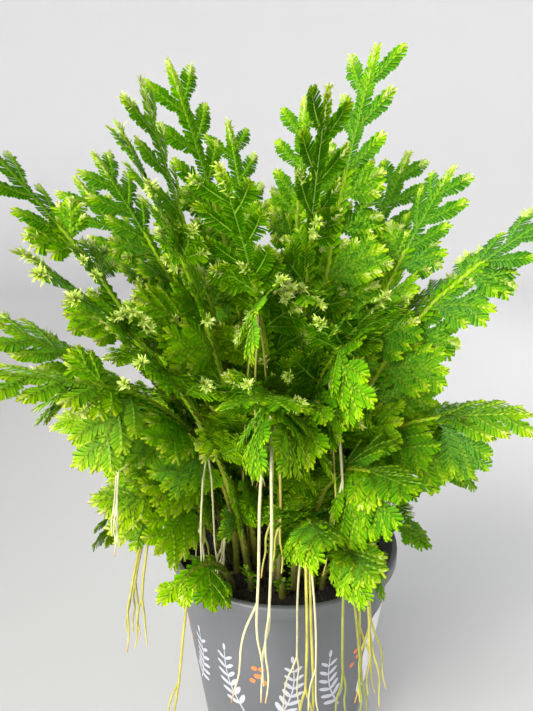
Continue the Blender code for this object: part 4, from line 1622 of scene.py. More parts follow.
@dataclass
class Frond:
    """A leafy stem: its stalk, its ribs, and the leaves along all of them."""

    plan: StemPlan
    stem: Line
    sprays: list[Spray]
    vigour: float  # how young its tips are, from 0 to 1
    nodes: tuple[str, ...]  # the solids that it stands for

    RIB_RADIUS = 0.42 * MM
    LOBE_RADIUS = 0.32 * MM
    END_RADIUS = 0.18 * MM
    STALK_STEPS_SHOWN = 40
    TUFT_LEAVES = 5
    ROSETTE_LEAVES = 44
    ROSETTE_OPENING = (10, 80)
    FROSTED_RIBS = 0.95
    FROSTED_FINGERS = 0.34
    FROST_POWER = 1.7
    FROSTED_TIP = 0.95
    BRIGHT_SHARE = 0.2
    OLD_SHARE = 0.68
    # painted light: the lower a spray hangs, the paler its leaves are painted, standing in for light that the
    # upper foliage keeps off it
    PALER_BELOW = 0.31
    # painted light and shade by side: sprays on the left are painted paler and those on the right darker, as
    # the light falls from the left
    SIDE_PALENESS = 0.12
    SIDE_REACH = 60 * MM
    LEFT_VIGOUR = 0.22
    # painted shade: more of the bluish sheen tint darkens the right-hand sprays
    RIGHT_BLOOM = 0.4
    LOW_TIP = 115 * MM
    HIGH_TIP = 185 * MM
    LIFT = 0.3 * MM
    MOST_RIGHT = -1.5
    RIB_END = 0.97
    SWELLING = 0.05
    SWELLING_TURN = 2.3
    STALK_LEAF_STEPS = 20
    TUFT_SPAN = (0.86, 0.99)
    TUFT_TURNS = (-0.8, 0.8)
    TUFT_LIFTS = (-0.1, 0.5)
    TUFT_LENGTHS = (1.2, 2.1)  # in millimetres, as are the widths and the lengths under them
    TUFT_WIDTHS = (0.7, 1.0)
    TUFT_SCATTER = 0.06
    ROSETTE_SPAN = (0.76, 1.0)
    ROSETTE_LENGTHS = (1.5, 2.9)
    ROSETTE_WIDTHS = (0.65, 0.95)
    ROSETTE_YOUTH = 0.88
    ROSETTE_SCATTER = 0.08
    BRIGHT_AGES = (0.3, 0.5)
    AGES = (-0.16, 0.14)
    # fresh sprays near the top get less of the painted sheen
    FRESH_BLOOM_LOSS = 0.75
    VIGOUR_VARIATION = (0.8, 1.15)
    TIP_VARIATION = (0.85, 1.15)
    MIDDLES_YOUNGER = 0.1
    STALK_YOUTH = (0.15, 0.35)
    SCALE_YOUTH = (0.35, 0.45)
    SCALE_TURNS = (0, 90, 180, 270)

    def stalk_points(self) -> Drawn:
        """The stalk's points with its radius at each, from under the soil to the last spray."""
        foot = self.stem.stations[0]
        points = [(foot.at - foot.heading * self.plan.SUNK, self.plan.FOOT_RADIUS)]
        last = self.plan.APEX_SHARE
        for step in range(self.STALK_STEPS_SHOWN + 1):
            share = last * step / self.STALK_STEPS_SHOWN
            swelling = 1 + self.SWELLING * math.sin(step * self.SWELLING_TURN)
            points.append((self.stem.at(share).at, self.plan.stalk_radius(share) * swelling))
        return points

    def rib_points(self, line: Line, radius: float) -> Drawn:
        """A rib's points with its radius at each."""
        last = len(line.stations) - 1
        points = []
        for step in range(last + 1):
            at = line.at(self.RIB_END * step / last).at
            points.append((at, radius + (self.END_RADIUS - radius) * step / last))
        return points

    def lifted(self, places: LeafPlaces) -> LeafPlaces:
        """Lifts leaves off a line's middle, so that they lie on its upper face."""
        return replace(places, at=places.at + places.up * self.LIFT)

    def freshness(self, spray: Spray) -> float:
        """How near a spray is to the growing top of the plant, from 0 to 1."""
        height = spray.rib.stations[-1].at.z
        return min(max((height - self.LOW_TIP) / (self.HIGH_TIP - self.LOW_TIP), 0.0), 1.0)

    def leftness(self, spray: Spray) -> float:
        """How far to the left a spray's tip is, from -1.5 at the right to 1 at the left."""
        return min(max(-spray.rib.stations[-1].at.x / self.SIDE_REACH, self.MOST_RIGHT), 1.0)

    @staticmethod
    def young(
        end: Frames,
        along: np.ndarray,
        sizes: tuple[Pair, Pair],
        youth: Pair,
        facing: np.ndarray,
        rng: np.random.Generator,
    ) -> LeafPlaces:
        """Places young leaves round the end of a line.

        Args:
            end: The stations that they leave.
            along: Their directions.
            sizes: The least and greatest length and width, in millimetres.
            youth: How young they are, and how far that is scattered.
            facing: What their upper faces look to.
            rng: Draws their sizes and colours.

        Returns:
            The leaves' places.
        """
        count = len(along)
        lengths, widths = (rng.uniform(*size, count) * MM for size in sizes)
        middle, scatter = youth
        return LeafPlaces(
            end.at,
            along,
            unit(facing - along * np.sum(facing * along, axis=1, keepdims=True)),
            lengths,
            widths,
            np.clip(middle + rng.normal(0.0, scatter, count), 0, 1),
            rng.uniform(0, 1, count),
            np.zeros(count),
            np.ones(count),
        )

    def tuft(self, line: Line, youth: float, rng: np.random.Generator) -> LeafPlaces:
        """Places the crowded young leaves at the end of a line.

        Args:
            line: The rib or lobe.
            youth: How young they are.
            rng: Draws their directions.

        Returns:
            The leaves' places.
        """
        count = self.TUFT_LEAVES
        end = line.frames(np.linspace(*self.TUFT_SPAN, count))
        turn = rng.uniform(*self.TUFT_TURNS, count)[:, None]
        lift = rng.uniform(*self.TUFT_LIFTS, count)[:, None]
        along = unit(end.heading + end.side * turn + end.face * lift)
        sizes = (self.TUFT_LENGTHS, self.TUFT_WIDTHS)
        return self.young(end, along, sizes, (youth, self.TUFT_SCATTER), end.face, rng)

    def rosette(self, line: Line, rng: np.random.Generator) -> LeafPlaces:
        """Places the pale cluster of young leaves at a growing tip.

        Args:
            line: The rib.
            rng: Draws their directions.

        Returns:
            The leaves' places.
        """
        count = self.ROSETTE_LEAVES
        end = line.frames(np.linspace(*self.ROSETTE_SPAN, count))
        opening = np.radians(rng.uniform(*self.ROSETTE_OPENING, count))[:, None]
        turn = rng.uniform(0, 2 * math.pi, count)[:, None]
        outward = end.side * np.cos(turn) + end.face * np.sin(turn)
        along = unit(end.heading * np.cos(opening) + outward * np.sin(opening))
        sizes = (self.ROSETTE_LENGTHS, self.ROSETTE_WIDTHS)
        return self.young(end, along, sizes, (self.ROSETTE_YOUTH, self.ROSETTE_SCATTER), end.heading, rng)

    def piece(self, finishes: tuple[Material, ...]) -> Object:
        """Builds the frond.

        Args:
            finishes: The materials of stalk, ribs, side leaves and middle leaves.

        Returns:
            The piece.
        """
        chance = random.Random(f"{self.plan.name} leaves")
        rng = np.random.default_rng(chance.getrandbits(32))
        sides, middles, ribs = [], [], []
        for spray in self.sprays:
            fresh = self.freshness(spray)
            is_bright = rng.random() < self.BRIGHT_SHARE * (1 - fresh)
            if is_bright:
                age = rng.uniform(*self.BRIGHT_AGES)
            else:
                # painted light: lower sprays are painted paler
                age = rng.uniform(*self.AGES) + self.PALER_BELOW * (1 - fresh)
            left = self.leftness(spray)
            # painted sheen on random sprays, less on fresh ones
            bloom = rng.uniform(0, 1) ** 3 * (1 - self.FRESH_BLOOM_LOSS * fresh)
            # painted shade on the right-hand sprays and painted light on the left-hand ones
            bloom += self.RIGHT_BLOOM * max(-left, 0.0)
            age += self.SIDE_PALENESS * left
            vigour = self.vigour * (self.OLD_SHARE + (1 - self.OLD_SHARE) * max(fresh, is_bright, left))
            vigour *= rng.uniform(*self.VIGOUR_VARIATION) * (1 + self.LEFT_VIGOUR * max(left, 0.0))
            parts = [(spray.rib, self.RIB_RADIUS, RIB_SIDES, self.FROSTED_RIBS)]
            for finger in spray.fingers(chance):
                parts.append((finger, self.LOBE_RADIUS, LOBE_SIDES, self.FROSTED_FINGERS))
            for line, radius, leafing, frosted in parts:
                tip = min(1.0, vigour * rng.uniform(*self.TIP_VARIATION))
                if rng.random() < frosted * fresh**self.FROST_POWER:
                    middles.append(self.rosette(line, rng))
                    tip = max(tip, self.FROSTED_TIP)
                ribs.append(self.rib_points(line, radius))
                sides.append(leafing.places(line, (age, tip), bloom, rng))
                youth = (age + self.MIDDLES_YOUNGER, tip)
                middles.append(self.lifted(LINE_MIDDLES.places(line, youth, bloom, rng)))
                middles.append(self.tuft(line, tip, rng))
        steps = self.STALK_LEAF_STEPS
        stalk = Line([self.stem.at(self.plan.APEX_SHARE * step / steps) for step in range(steps + 1)])
        sides.append(STALK_SIDES.places(stalk, self.STALK_YOUTH, 0.0, rng))
        for turn in self.SCALE_TURNS:
            rolled = Line([station.tilted(station.heading, turn) for station in stalk.stations])
            middles.append(self.lifted(STALK_SCALES.places(rolled, self.SCALE_YOUTH, 0.0, rng)))
        mesh = PieceMesh()
        mesh.add_mesh(tubes([self.stalk_points()], 2), 0)
        mesh.add_mesh(tubes(ribs, 0), 1)
        mesh.add_leaves(SIDE_LEAF, LeafPlaces.together(sides).inside(CAD_BOX), 2)
        mesh.add_leaves(MIDDLE_LEAF, LeafPlaces.together(middles).inside(CAD_BOX), 3)
        name = self.plan.name.replace("stem_", "frond_")
        return dress(mesh.finished(name, *finishes), Slot.LEAF, *self.nodes)


@dataclass
class RootCluster:
    """Aerial roots that leave one knot under their stem, each ending in a thinner fork."""

    plan: RootPlan
    strands: list[Line]
    nodes: tuple[str, ...]  # the solids that it stands for
    thickness: float = 1.0

    RADIUS = 0.48 * MM
    FORK_RADIUS = 0.40 * MM
    END_RADIUS = 0.22 * MM
    FORK_SHARE = 0.6
    FORK_ANGLE = 13
    FORK_STEPS = 8
    FORK_WAVE = 0.17
    FORK_WAVE_TURN = 65
    FORK_FALL = 1.1
    FORK_LENGTHS = (0.72, 1.0)
    FORK_TURNS = (0.5, 1.3)
    DRAWN_STEP = 5 * MM
    RUN_LAYER = "run"

    def fork(self, strand: Line, side: int, rng: random.Random) -> Line:
        """Grows one arm of the fork at a strand's end.

        Args:
            strand: The strand.
            side: 1 for the left arm and -1 for the right.
            rng: Draws its length and sway.

        Returns:
            The arm.
        """
        start = strand.at(self.FORK_SHARE)
        length = strand.length * (1 - self.FORK_SHARE) * rng.uniform(*self.FORK_LENGTHS)
        aside = start.aside(self.FORK_ANGLE * rng.uniform(*self.FORK_TURNS), side)
        sway = rng.uniform(0, 360)
        fall = UP * (self.FORK_FALL / self.FORK_STEPS)
        turns = [sway + self.FORK_WAVE_TURN * step for step in range(self.FORK_STEPS)]
        return Line.pulled(aside, length, [polar(turn, self.FORK_WAVE) - fall for turn in turns])

    def drawn(self, line: Line, shares: Pair, radii: Pair) -> Drawn:
        """The points of a part of a line, with the radius at each.

        Args:
            line: The line.
            shares: Where the part starts and ends, as shares of the line.
            radii: The radii at its start and end.

        Returns:
            The points and radii.
        """
        count = max(3, round(line.length * (shares[1] - shares[0]) / self.DRAWN_STEP))
        drawn = []
        for step in range(count + 1):
            part = step / count
            at = line.at(shares[0] + (shares[1] - shares[0]) * part).at
            drawn.append((at, radii[0] + (radii[1] - radii[0]) * part))
        return drawn

    def piece(self, finish: Material) -> Object:
        """Builds the cluster.

        Args:
            finish: Its material.

        Returns:
            The piece.
        """
        rng = random.Random(f"{self.plan.name} forks")
        lines = []
        for strand in self.strands:
            lines.append(self.drawn(strand, (0, self.FORK_SHARE), (self.RADIUS, self.FORK_RADIUS)))
            for side in (1, -1):
                arm = self.fork(strand, side, rng)
                lines.append(self.drawn(arm, (0, 1), (self.FORK_RADIUS, self.END_RADIUS)))
        lines = [[(at, radius * self.thickness) for at, radius in line] for line in lines]
        mesh = tubes(lines, 2, smooth=True)
        low = min(vertex.co.z for vertex in mesh.vertices)
        high = max(vertex.co.z for vertex in mesh.vertices)
        run = mesh.attributes.new(self.RUN_LAYER, "FLOAT", "POINT")
        run.data.foreach_set("value", [(high - vertex.co.z) / (high - low) for vertex in mesh.vertices])
        mesh.shade_smooth()
        piece = linked(self.plan.name.replace("roots_", "aerial_roots_"), mesh, finish)
        return dress(piece, Slot.ROOT, *self.nodes)


MERGE = 0.001 * MM  # points of a turned form that are nearer to each other become one


def spun(section: list[Pair], steps: int, merge: float) -> BMesh:
    """Turns a section round the pot's axis.

    Args:
        section: (Radius, height) of its points.
        steps: How many steps a full turn has.
        merge: Points nearer to each other than this become one.

    Returns:
        The form, facing outwards.
    """
    bm = bmesh.new()
    points = [bm.verts.new((radius, 0, height)) for radius, height in section]
    geometry = points + [bm.edges.new(pair) for pair in zip(points, points[1:])]
    bmesh.ops.spin(
        bm, geom=geometry, axis=UP, cent=(0, 0, 0), steps=steps, angle=2 * math.pi, use_merge=True
    )
    bmesh.ops.remove_doubles(bm, verts=bm.verts, dist=merge)
    bmesh.ops.recalc_face_normals(bm, faces=bm.faces)
    return bm


def turned(profile: list[Pair], steps: int) -> BMesh:
    """Turns a section that starts and ends on the pot's axis into a closed form."""
    return spun(profile, steps, MERGE)


def arc(centre: Pair, radius: float, start: float, end: float, steps: int = 5) -> list[Pair]:
    """Points on an arc of a section.

    Args:
        centre: Its centre.
        radius: Its radius.
        start: The angle of its first point in degrees.
        end: The angle of its last point in degrees.
        steps: How many steps it has.

    Returns:
        The points.
    """
    angles = [math.radians(start + (end - start) * step / steps) for step in range(steps + 1)]
    x, y = centre
    return [(x + radius * math.cos(angle), y + radius * math.sin(angle)) for angle in angles]


@dataclass
class NurseryPot:
    """The thin-walled pot, with a rounded collar round its rim and drain holes in its base."""

    steps: int = 96
    lip: float = 0.8 * MM
    foot_round: float = 1.2 * MM
    foot_width: float = 2.2 * MM
    foot_recess: float = 0.5 * MM
    drains: int = 6
    drain_radius: float = 3 * MM
    drain_circle: float = 20 * MM
    drain_depth: float = 4 * POT.base_wall
    drain_segments: int = 24
    sharp: float = 40  # degrees between faces over which an edge stays sharp

    def profile(self) -> list[Pair]:
        """The section, from the middle of the underside up the outside and down the inside."""
        under_rim = POT.height - POT.rim_depth
        foot = POT.base_radius - self.foot_round
        outer = POT.side_radius(under_rim)
        lip = self.lip
        inner = POT.rim_radius - POT.rim_step
        return [
            (0, self.foot_recess),
            (foot - self.foot_width - self.foot_recess, self.foot_recess),
            (foot - self.foot_width, 0),
            *arc((foot, self.foot_round), self.foot_round, -90, -8),
            (POT.side_radius(under_rim / 2), under_rim / 2),
            (outer, under_rim),
            *arc((POT.rim_radius - lip / 2, under_rim + lip / 2 + 0.2 * MM), lip / 2, -90, 0, 4),
            *arc((POT.rim_radius - lip, POT.height - lip), lip, 0, 90),
            *arc((inner + lip / 2, POT.height - lip / 2), lip / 2, 90, 180, 4),
            (inner, under_rim + lip),
            (outer - POT.wall, under_rim - POT.wall),
            (POT.side_radius(POT.base_wall) - POT.wall, POT.base_wall),
            (0, POT.base_wall),
        ]

    def piece(self) -> Object:
        """Builds the pot.

        Returns:
            The piece.
        """
        mesh = meshed(turned(self.profile(), self.steps), "pot")
        pot = linked("nursery_pot", mesh, PlasticFinish().material())
        drill = bmesh.new()
        for index in range(self.drains):
            place = polar(360 * (index + 0.5) / self.drains, self.drain_circle, POT.base_wall / 2)
            bmesh.ops.create_cone(
                drill,
                cap_ends=True,
                segments=self.drain_segments,
                radius1=self.drain_radius,
                radius2=self.drain_radius,
                depth=self.drain_depth,
                matrix=Matrix.Translation(place),
            )
        cutter = linked("drill", meshed(drill, "drill"))
        cut = pot.modifiers.new("drain_holes", "BOOLEAN")
        cut.operation = "DIFFERENCE"
        cut.object = cutter
        bpy.context.view_layer.update()
        pierced = bpy.data.meshes.new_from_object(pot.evaluated_get(bpy.context.evaluated_depsgraph_get()))
        pot.modifiers.clear()
        pot.data = pierced
        bpy.data.objects.remove(cutter)
        smoothed(pierced, self.sharp)
        return dress(pot, Slot.POT, "pot")


@dataclass
class Peat:
    """The soil that fills the pot, uneven on top, with crumbs, chips and pale grit lying on it."""

    steps: int = 96
    rings: int = 26
    unevenness: float = 1.3 * MM
    crumbs: int = 1500
    crumb_sizes: Pair = (0.5 * MM, 2.0 * MM)
    crumb_margin: float = 1.5  # room between a crumb and the pot's wall, in sizes of the crumb
    crumb_stretch: Pair = (0.8, 1.7)
    crumb_squeeze: Pair = (0.5, 0.9)
    crumb_lift: float = 0.2
    grit_every: int = 40
    fibres: int = 150
    fibre_length: Pair = (4 * MM, 12 * MM)
    fibre_radius: float = 0.11 * MM
    fibre_steps: int = 5
    fibre_lift: Pair = (0.2, 0.9)  # in millimetres
    fibre_turn: float = 45
    sharp: float = 60  # degrees between faces over which an edge stays sharp

    def level(self, x: float, y: float) -> float:
        """The height of the soil at a place."""
        share = min(math.hypot(x, y) / POT.shoulder, 1.0)
        mound = POT.soil_level - POT.soil_mound / 2 + POT.soil_mound * (1 - share**2)
        place = Vector((x, y, 0))
        coarse = noise.noise(place * 180)
        fine = noise.noise(place * 620)
        return mound + self.unevenness * (0.7 * coarse + 0.3 * fine) * (1 - share**6) - 0.3 * MM

    def body(self) -> Object:
        """Builds the soil itself.

        Returns:
            The piece.
        """
        foot = POT.base_wall + POT.gap
        profile = [(0, foot), (POT.side_radius(foot) - POT.wall - POT.gap, foot)]
        for ring in range(self.rings):
            profile.append((POT.shoulder * (self.rings - ring) / self.rings, POT.soil_level))
        profile += [(0, POT.soil_level)]
        bm = turned(profile, self.steps)
        for vertex in bm.verts:
            if vertex.co.z > POT.soil_level - MM:
                vertex.co.z = self.level(vertex.co.x, vertex.co.y)
        mesh = smoothed(meshed(bm, "peat"), self.sharp)
        finish = PeatFinish("peat", (0.006, 0.005, 0.004), (0.035, 0.025, 0.017))
        return dress(linked("peat", mesh, finish.material()), Slot.SOIL, "soil")

    def scatter(self) -> Object:
        """Builds the crumbs on the soil.

        Returns:
            The piece.
        """
        rng = random.Random("crumbs")
        bm = bmesh.new()
        for index in range(self.crumbs):
            size = rng.uniform(*self.crumb_sizes) * rng.uniform(0.6, 1.0)
            away = math.sqrt(rng.random()) * (POT.shoulder - self.crumb_margin * size)
            spot = polar(rng.uniform(0, 360), away)
            spot.z = self.level(spot.x, spot.y) + size * self.crumb_lift
            turn = Matrix.Rotation(rng.uniform(0, 2 * math.pi), 4, "Z")
            turn = turn @ Matrix.Rotation(rng.uniform(0, 3), 4, "X")
            stretched = size * rng.uniform(*self.crumb_stretch)
            squeeze = Matrix.Diagonal((stretched, size, size * rng.uniform(*self.crumb_squeeze), 1))
            made = bmesh.ops.create_icosphere(
                bm, subdivisions=1, radius=0.5, matrix=Matrix.Translation(spot) @ turn @ squeeze
            )
            for vertex in made["verts"]:
                vertex.co += (vertex.co - spot) * (0.35 * noise.noise(vertex.co * 2500))
            if index % self.grit_every == 0:
                for face in {face for vertex in made["verts"] for face in vertex.link_faces}:
                    face.material_index = 1
        mesh = meshed(bm, "crumbs")
        crumb = PeatFinish("peat_crumbs", (0.010, 0.008, 0.006), (0.06, 0.042, 0.026)).material()
        grit = PeatFinish("pale_grit", (0.30, 0.28, 0.22), (0.55, 0.52, 0.44)).material()
        return dress(linked("peat_crumbs", mesh, crumb, grit), Slot.SOIL)

    def threads(self) -> Object:
        """Builds the peat's brown fibres, which lie on the crumbs.

        Returns:
            The piece.
        """
        rng = random.Random("fibres")
        shoulder = POT.shoulder - MM
        lines = []
        for _ in range(self.fibres):
            spot = polar(rng.uniform(0, 360), math.sqrt(rng.random()) * shoulder)
            bearing = rng.uniform(0, 360)
            length = rng.uniform(*self.fibre_length)
            line = []
            for _ in range(self.fibre_steps + 1):
                if math.hypot(spot.x, spot.y) < shoulder:
                    height = self.level(spot.x, spot.y) + rng.uniform(*self.fibre_lift) * MM
                    line.append((Vector((spot.x, spot.y, height)), self.fibre_radius))
                bearing += rng.uniform(-self.fibre_turn, self.fibre_turn)
                spot = spot + polar(bearing, length / self.fibre_steps)
            if len(line) > 2:
                lines.append(line)
        finish = PeatFinish("peat_fibres", (0.035, 0.022, 0.012), (0.16, 0.10, 0.05))
        return dress(linked("peat_fibres", tubes(lines, 0), finish.material()), Slot.SOIL)


class PotSkin:
    """Lays flat shapes on the pot's side, where x is millimetres round it and y is the height."""

    def __init__(self, bearing: float) -> None:
        """Takes the bearing that x starts from, in degrees."""
        self.bearing = bearing

    def wrap(self, bm: BMesh, lift: float) -> None:
        """Wraps a flat mesh round the pot.

        Args:
            bm: The mesh, in millimetres, with its thickness along z.
            lift: How far its z of zero stands off the pot, in metres.
        """
        for vertex in bm.verts:
            height = vertex.co.y * MM
            radius = POT.side_radius(height)
            turn = math.degrees(vertex.co.x * MM / POT.side_radius(POT.height / 2))
            vertex.co = polar(self.bearing + turn, radius + lift + vertex.co.z * MM, height)


def sliced(bm: BMesh, pitch: float) -> None:
    """Cuts a flat mesh into upright strips, so that it bends smoothly.

    Args:
        bm: The mesh, in millimetres.
        pitch: The width of a strip.
    """
    low = min(vertex.co.x for vertex in bm.verts)
    high = max(vertex.co.x for vertex in bm.verts)
    place = low + pitch
    while place < high - pitch * 0.2:
        geometry = bm.verts[:] + bm.edges[:] + bm.faces[:]
        bmesh.ops.bisect_plane(bm, geom=geometry, dist=1e-4, plane_co=(place, 0, 0), plane_no=(1, 0, 0))
        place += pitch


@dataclass
class Label:
    """The blank white label on the pot's right side, with rounded corners."""

    bearings: Pair = (321, 375)
    heights: Pair = (24, 58)
    thickness: float = 0.15
    lift: float = 0.03 * MM
    corner: float = 3.0
    corner_steps: int = 6
    sharp: float = 40  # degrees between faces over which an edge stays sharp
    strip: float = 2.2

    def piece(self) -> Object:
        """Builds the label.

        Returns:
            The piece.
        """
        middle = sum(self.bearings) / 2
        half = math.radians(self.bearings[1] - self.bearings[0]) / 2 * POT.side_radius(POT.height / 2) / MM
        bm = bmesh.new()
        low, high = self.heights
        corners = ((-half, low), (half, low), (half, high), (-half, high))
        bm.faces.new([bm.verts.new((x, y, 0)) for x, y in corners])
        bmesh.ops.bevel(
            bm,
            geom=bm.verts[:],
            offset=self.corner,
            segments=self.corner_steps,
            profile=0.5,
            affect="VERTICES",
            material=-1,
        )
        sliced(bm, self.strip)
        bmesh.ops.solidify(bm, geom=bm.faces[:], thickness=-self.thickness)
        bmesh.ops.recalc_face_normals(bm, faces=bm.faces)
        PotSkin(middle).wrap(bm, self.lift)
        bmesh.ops.recalc_face_normals(bm, faces=bm.faces)
        mesh = smoothed(meshed(bm, "label"), self.sharp)
        return dress(linked("blank_label", mesh, PaperFinish().material()), Slot.LABEL, "label")


@dataclass
class SprigPrint:
    """Pale fern sprigs and small orange berries printed round the pot."""

    bearings: tuple[float, ...] = (212, 241, 270, 299, 29, 57, 85, 113, 141, 169, 190)
    middle: float = 39.0
    height: float = 25.0
    leaf_pairs: int = 6
    leaf: Pair = (5.4, 1.9)
    leaf_angle: float = 48
    leaf_lead: float = 0.8
    leaf_corners: int = 16
    stem_steps: int = 12
    stem_taper: float = 0.6
    leans: tuple[float, ...] = (14, -12, 10, -15)
    stem_width: float = 0.7
    bow: float = 2.2
    berry: float = 1.0
    berries: tuple[Pair, ...] = ((7.4, 9.0), (8.9, 5.8), (6.6, 3.4))
    thickness: float = 0.05
    lift: float = 0.02 * MM
    strip: float = 1.6

    def stem_place(self, share: float, turn: float) -> Triple:
        """A place on a sprig's stem: across, along, and the stem's direction in degrees.

        Args:
            share: From 0 at the foot to 1 at the tip.
            turn: The sprig's lean, where its sign gives the side that it bows to.

        Returns:
            The place and the direction.
        """
        lean = math.radians(turn)
        bow = math.copysign(self.bow, turn)
        across = bow * math.sin(math.pi * share)
        along = self.height * (share - 0.5)
        slope = math.degrees(math.atan2(bow * math.pi * math.cos(math.pi * share), self.height))
        x = across * math.cos(lean) + along * math.sin(lean)
        y = along * math.cos(lean) - across * math.sin(lean)
        return x, self.middle + y, turn + slope

    def sprig(self, turn: float) -> BMesh:
        """Draws one sprig flat.

        Args:
            turn: Its lean in degrees.

        Returns:
            The flat mesh, in millimetres.
        """
        bm = bmesh.new()
        before = None
        for step in range(self.stem_steps + 1):
            x, y, direction = self.stem_place(step / self.stem_steps, turn)
            half = self.stem_width / 2 * (1 - self.stem_taper * step / self.stem_steps)
            aim = math.radians(direction)
            out = Vector((math.cos(aim), -math.sin(aim), 0)) * half
            pair = [bm.verts.new(Vector((x, y, 0)) - out), bm.verts.new(Vector((x, y, 0)) + out)]
            if before:
                bm.faces.new((before[0], before[1], pair[1], pair[0]))
            before = pair
        places = []
        for pair, side in product(range(self.leaf_pairs), (1, -1)):
            places.append(((pair + self.leaf_lead) / (self.leaf_pairs + self.leaf_lead), side))
        for share, side in [*places, (1.0, 0)]:
            x, y, direction = self.stem_place(share, turn)
            size = 1.0 - 0.45 * share if side else 0.55
            aim = math.radians(90 - direction - side * self.leaf_angle)
            reach = self.leaf[0] * size / 2 + self.stem_width * 0.4
            centre = Vector((x + math.cos(aim) * reach, y + math.sin(aim) * reach, 0))
            shape = Matrix.Diagonal((self.leaf[0] * size / 2, self.leaf[1] * size / 2, 1, 1))
            place = Matrix.Translation(centre) @ Matrix.Rotation(aim, 4, "Z") @ shape
            bmesh.ops.create_circle(bm, cap_ends=True, segments=self.leaf_corners, radius=1, matrix=place)
        return bm

    def printed(
        self, name: str, flats: list[tuple[float, BMesh]], ink: InkFinish
    ) -> Object:
        """Thickens flat drawings a little and lays them on the pot.

        Args:
            name: The piece's name.
            flats: Each drawing with its bearing.
            ink: The ink's finish.

        Returns:
            The piece.
        """
        whole = bmesh.new()
        for bearing, flat in flats:
            sliced(flat, self.strip)
            bmesh.ops.solidify(flat, geom=flat.faces[:], thickness=-self.thickness)
            PotSkin(bearing).wrap(flat, self.lift)
            bmesh.ops.recalc_face_normals(flat, faces=flat.faces)
            mesh = meshed(flat, name)
            whole.from_mesh(mesh)
            bpy.data.meshes.remove(mesh)
        mesh = meshed(whole, name)
        return dress(linked(name, mesh, ink.material()), Slot.POT)

    def pieces(self) -> None:
        """Builds the sprigs and the berries."""
        leans = [self.leans[index % len(self.leans)] for index in range(len(self.bearings))]
        sprigs = [(bearing, self.sprig(lean)) for bearing, lean in zip(self.bearings, leans)]
        self.printed("sprig_print", sprigs, InkFinish("pale_ink", (0.50, 0.50, 0.56)))
        berries = []
        for bearing, lean in zip(self.bearings, leans):
            bm = bmesh.new()
            for x, y in self.berries:
                place = Matrix.Translation((math.copysign(x, -lean), self.middle + y, 0))
                bmesh.ops.create_circle(
                    bm, cap_ends=True, segments=self.leaf_corners, radius=self.berry, matrix=place
                )
            berries.append((bearing, bm))
        self.printed("berry_print", berries, InkFinish("orange_ink", (0.78, 0.22, 0.06)))


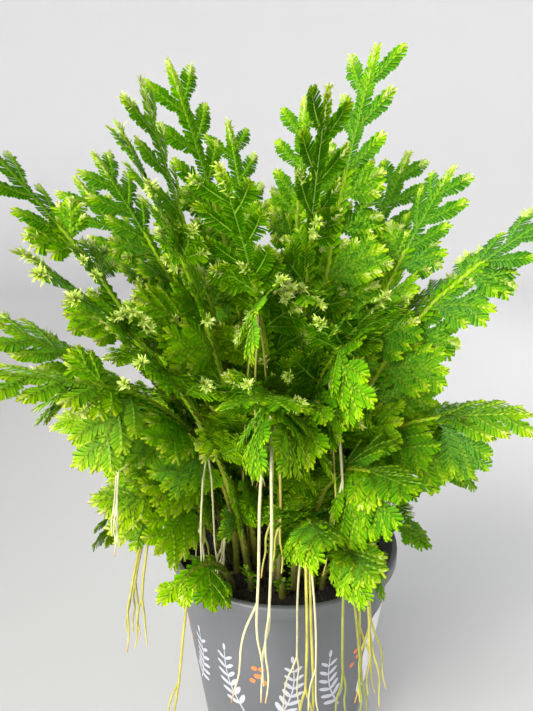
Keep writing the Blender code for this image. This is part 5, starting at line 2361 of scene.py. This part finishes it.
@dataclass
class Studio:
    """The pale sweep under and behind the plant, its soft light and the camera."""

    floor_radius: float = 1.1
    bend: float = 0.5
    height: float = 1.7
    camera_at: Triple = (-0.006, -0.190, 0.194)
    camera_pitch: float = 15.5
    lens: float = 30.38
    sensor: float = 36.0
    room_left: float = 0.74
    room_right: float = 0.41
    steps: int = 96
    merge: float = 0.01 * MM
    lamp_aim: Triple = (0, 0, 0.13)

    def sweep(self) -> None:
        """Builds the floor, which curves up into a wall all round."""
        section = [(0, 0), (self.floor_radius, 0)]
        section += arc((self.floor_radius, self.bend), self.bend, -90, 0, 12)
        section += [(self.floor_radius + self.bend, self.height)]
        bm = spun(section, self.steps, self.merge)
        bmesh.ops.reverse_faces(bm, faces=bm.faces)
        mesh = meshed(bm, "sweep")
        mesh.shade_smooth()
        linked("sweep", mesh, StudioFinish().material())

    def lamp(self, name: str, at: Triple, size: float, power: float, tint: Triple) -> None:
        """Places a soft square lamp that looks at the plant and that the camera doesn't see.

        Args:
            name: Its name.
            at: Its place.
            size: The length of its side.
            power: Its power in watts.
            tint: Its colour.
        """
        light = bpy.data.lights.new(name, "AREA")
        light.size = size
        light.energy = power
        light.color = tint
        lamp = bpy.data.objects.new(name, light)
        lamp.location = at
        lamp.visible_camera = False
        toward = Vector(self.lamp_aim) - Vector(at)
        lamp.rotation_euler = toward.to_track_quat("-Z", "Y").to_euler()
        bpy.context.scene.collection.objects.link(lamp)

    def lights(self) -> None:
        """Lights the plant softly from the upper left, with a pale room all round."""
        self.lamp("window", (-0.75, -0.55, 0.85), 0.7, 12, (1.0, 0.98, 0.93))
        self.lamp("room_right", (0.9, -0.5, 0.5), 0.9, 0.8, (0.97, 0.98, 1.0))
        self.lamp("room_front", (-0.55, -0.9, 0.12), 0.8, 20, (1.0, 0.99, 0.94))
        self.lamp("room_behind", (-0.2, 0.75, 0.75), 0.8, 1.5, (1.0, 1.0, 0.98))
        world = bpy.data.worlds.new("room")
        world.use_nodes = True
        tree = world.node_tree
        sky = tree.nodes["Background"]
        sky.inputs["Color"].default_value = (0.97, 0.98, 1.0, 1)
        direction = tree.nodes.new("ShaderNodeTexCoord").outputs["Generated"]
        across = tree.nodes.new("ShaderNodeSeparateXYZ")
        tree.links.new(direction, across.inputs[0])
        dimming = tree.nodes.new("ShaderNodeMapRange")
        tree.links.new(across.outputs["X"], dimming.inputs["Value"])
        for name, value in {"From Min": -1, "To Min": self.room_left, "To Max": self.room_right}.items():
            dimming.inputs[name].default_value = value
        tree.links.new(dimming.outputs["Result"], sky.inputs["Strength"])
        bpy.context.scene.world = world
        bpy.context.scene.view_settings.view_transform = "Standard"

    def camera(self) -> None:
        """Places the camera, whose sensor size is that of the frame's long side."""
        data = bpy.data.cameras.new("camera")
        data.lens = self.lens
        data.sensor_width = self.sensor
        data.clip_start = 0.01
        camera = bpy.data.objects.new("camera", data)
        camera.location = self.camera_at
        camera.rotation_euler = (math.radians(90 - self.camera_pitch), 0, 0)
        bpy.context.scene.collection.objects.link(camera)
        bpy.context.scene.camera = camera


def main() -> None:
    """Builds every piece of the plant, then its studio."""
    logging.basicConfig(level=logging.INFO, format="%(message)s")
    growth = Growth()
    NurseryPot().piece()
    peat = Peat()
    peat.body()
    peat.scatter()
    peat.threads()
    Label().piece()
    SprigPrint().pieces()
    finishes = tuple(finish.material() for finish in (STALKS, RIBS, SIDE_LEAVES, MIDDLE_LEAVES))
    for plan in STEMS:
        stem = growth.stems[plan.name]
        sprays = growth.sprays[plan.name] + growth.filling_sprays(plan, stem, (1,))
        Frond(plan, stem, sprays, VIGOUR, (plan.name,)).piece(finishes)
    for plan in SHOOTS:
        stem = plan.line()
        Frond(plan, stem, growth.filling_sprays(plan, stem, (-1, 1)), VIGOUR, ()).piece(finishes)
    tones = {tone: RootFinish(tone).material() for tone in RootTone}
    for plan in ROOTS:
        RootCluster(plan, growth.roots[plan.name], (plan.name,)).piece(tones[plan.tone])
    hosts = {plan.name: plan for plan in STEMS}
    for plan in FINE_ROOTS:
        strands = plan.lines(hosts[plan.stem], growth.stems[plan.stem], growth.crowd)
        RootCluster(plan, strands, (), FINE_THICKNESS).piece(tones[plan.tone])
    studio = Studio()
    studio.sweep()
    studio.lights()
    studio.camera()


if __name__ == "__main__":
    main()
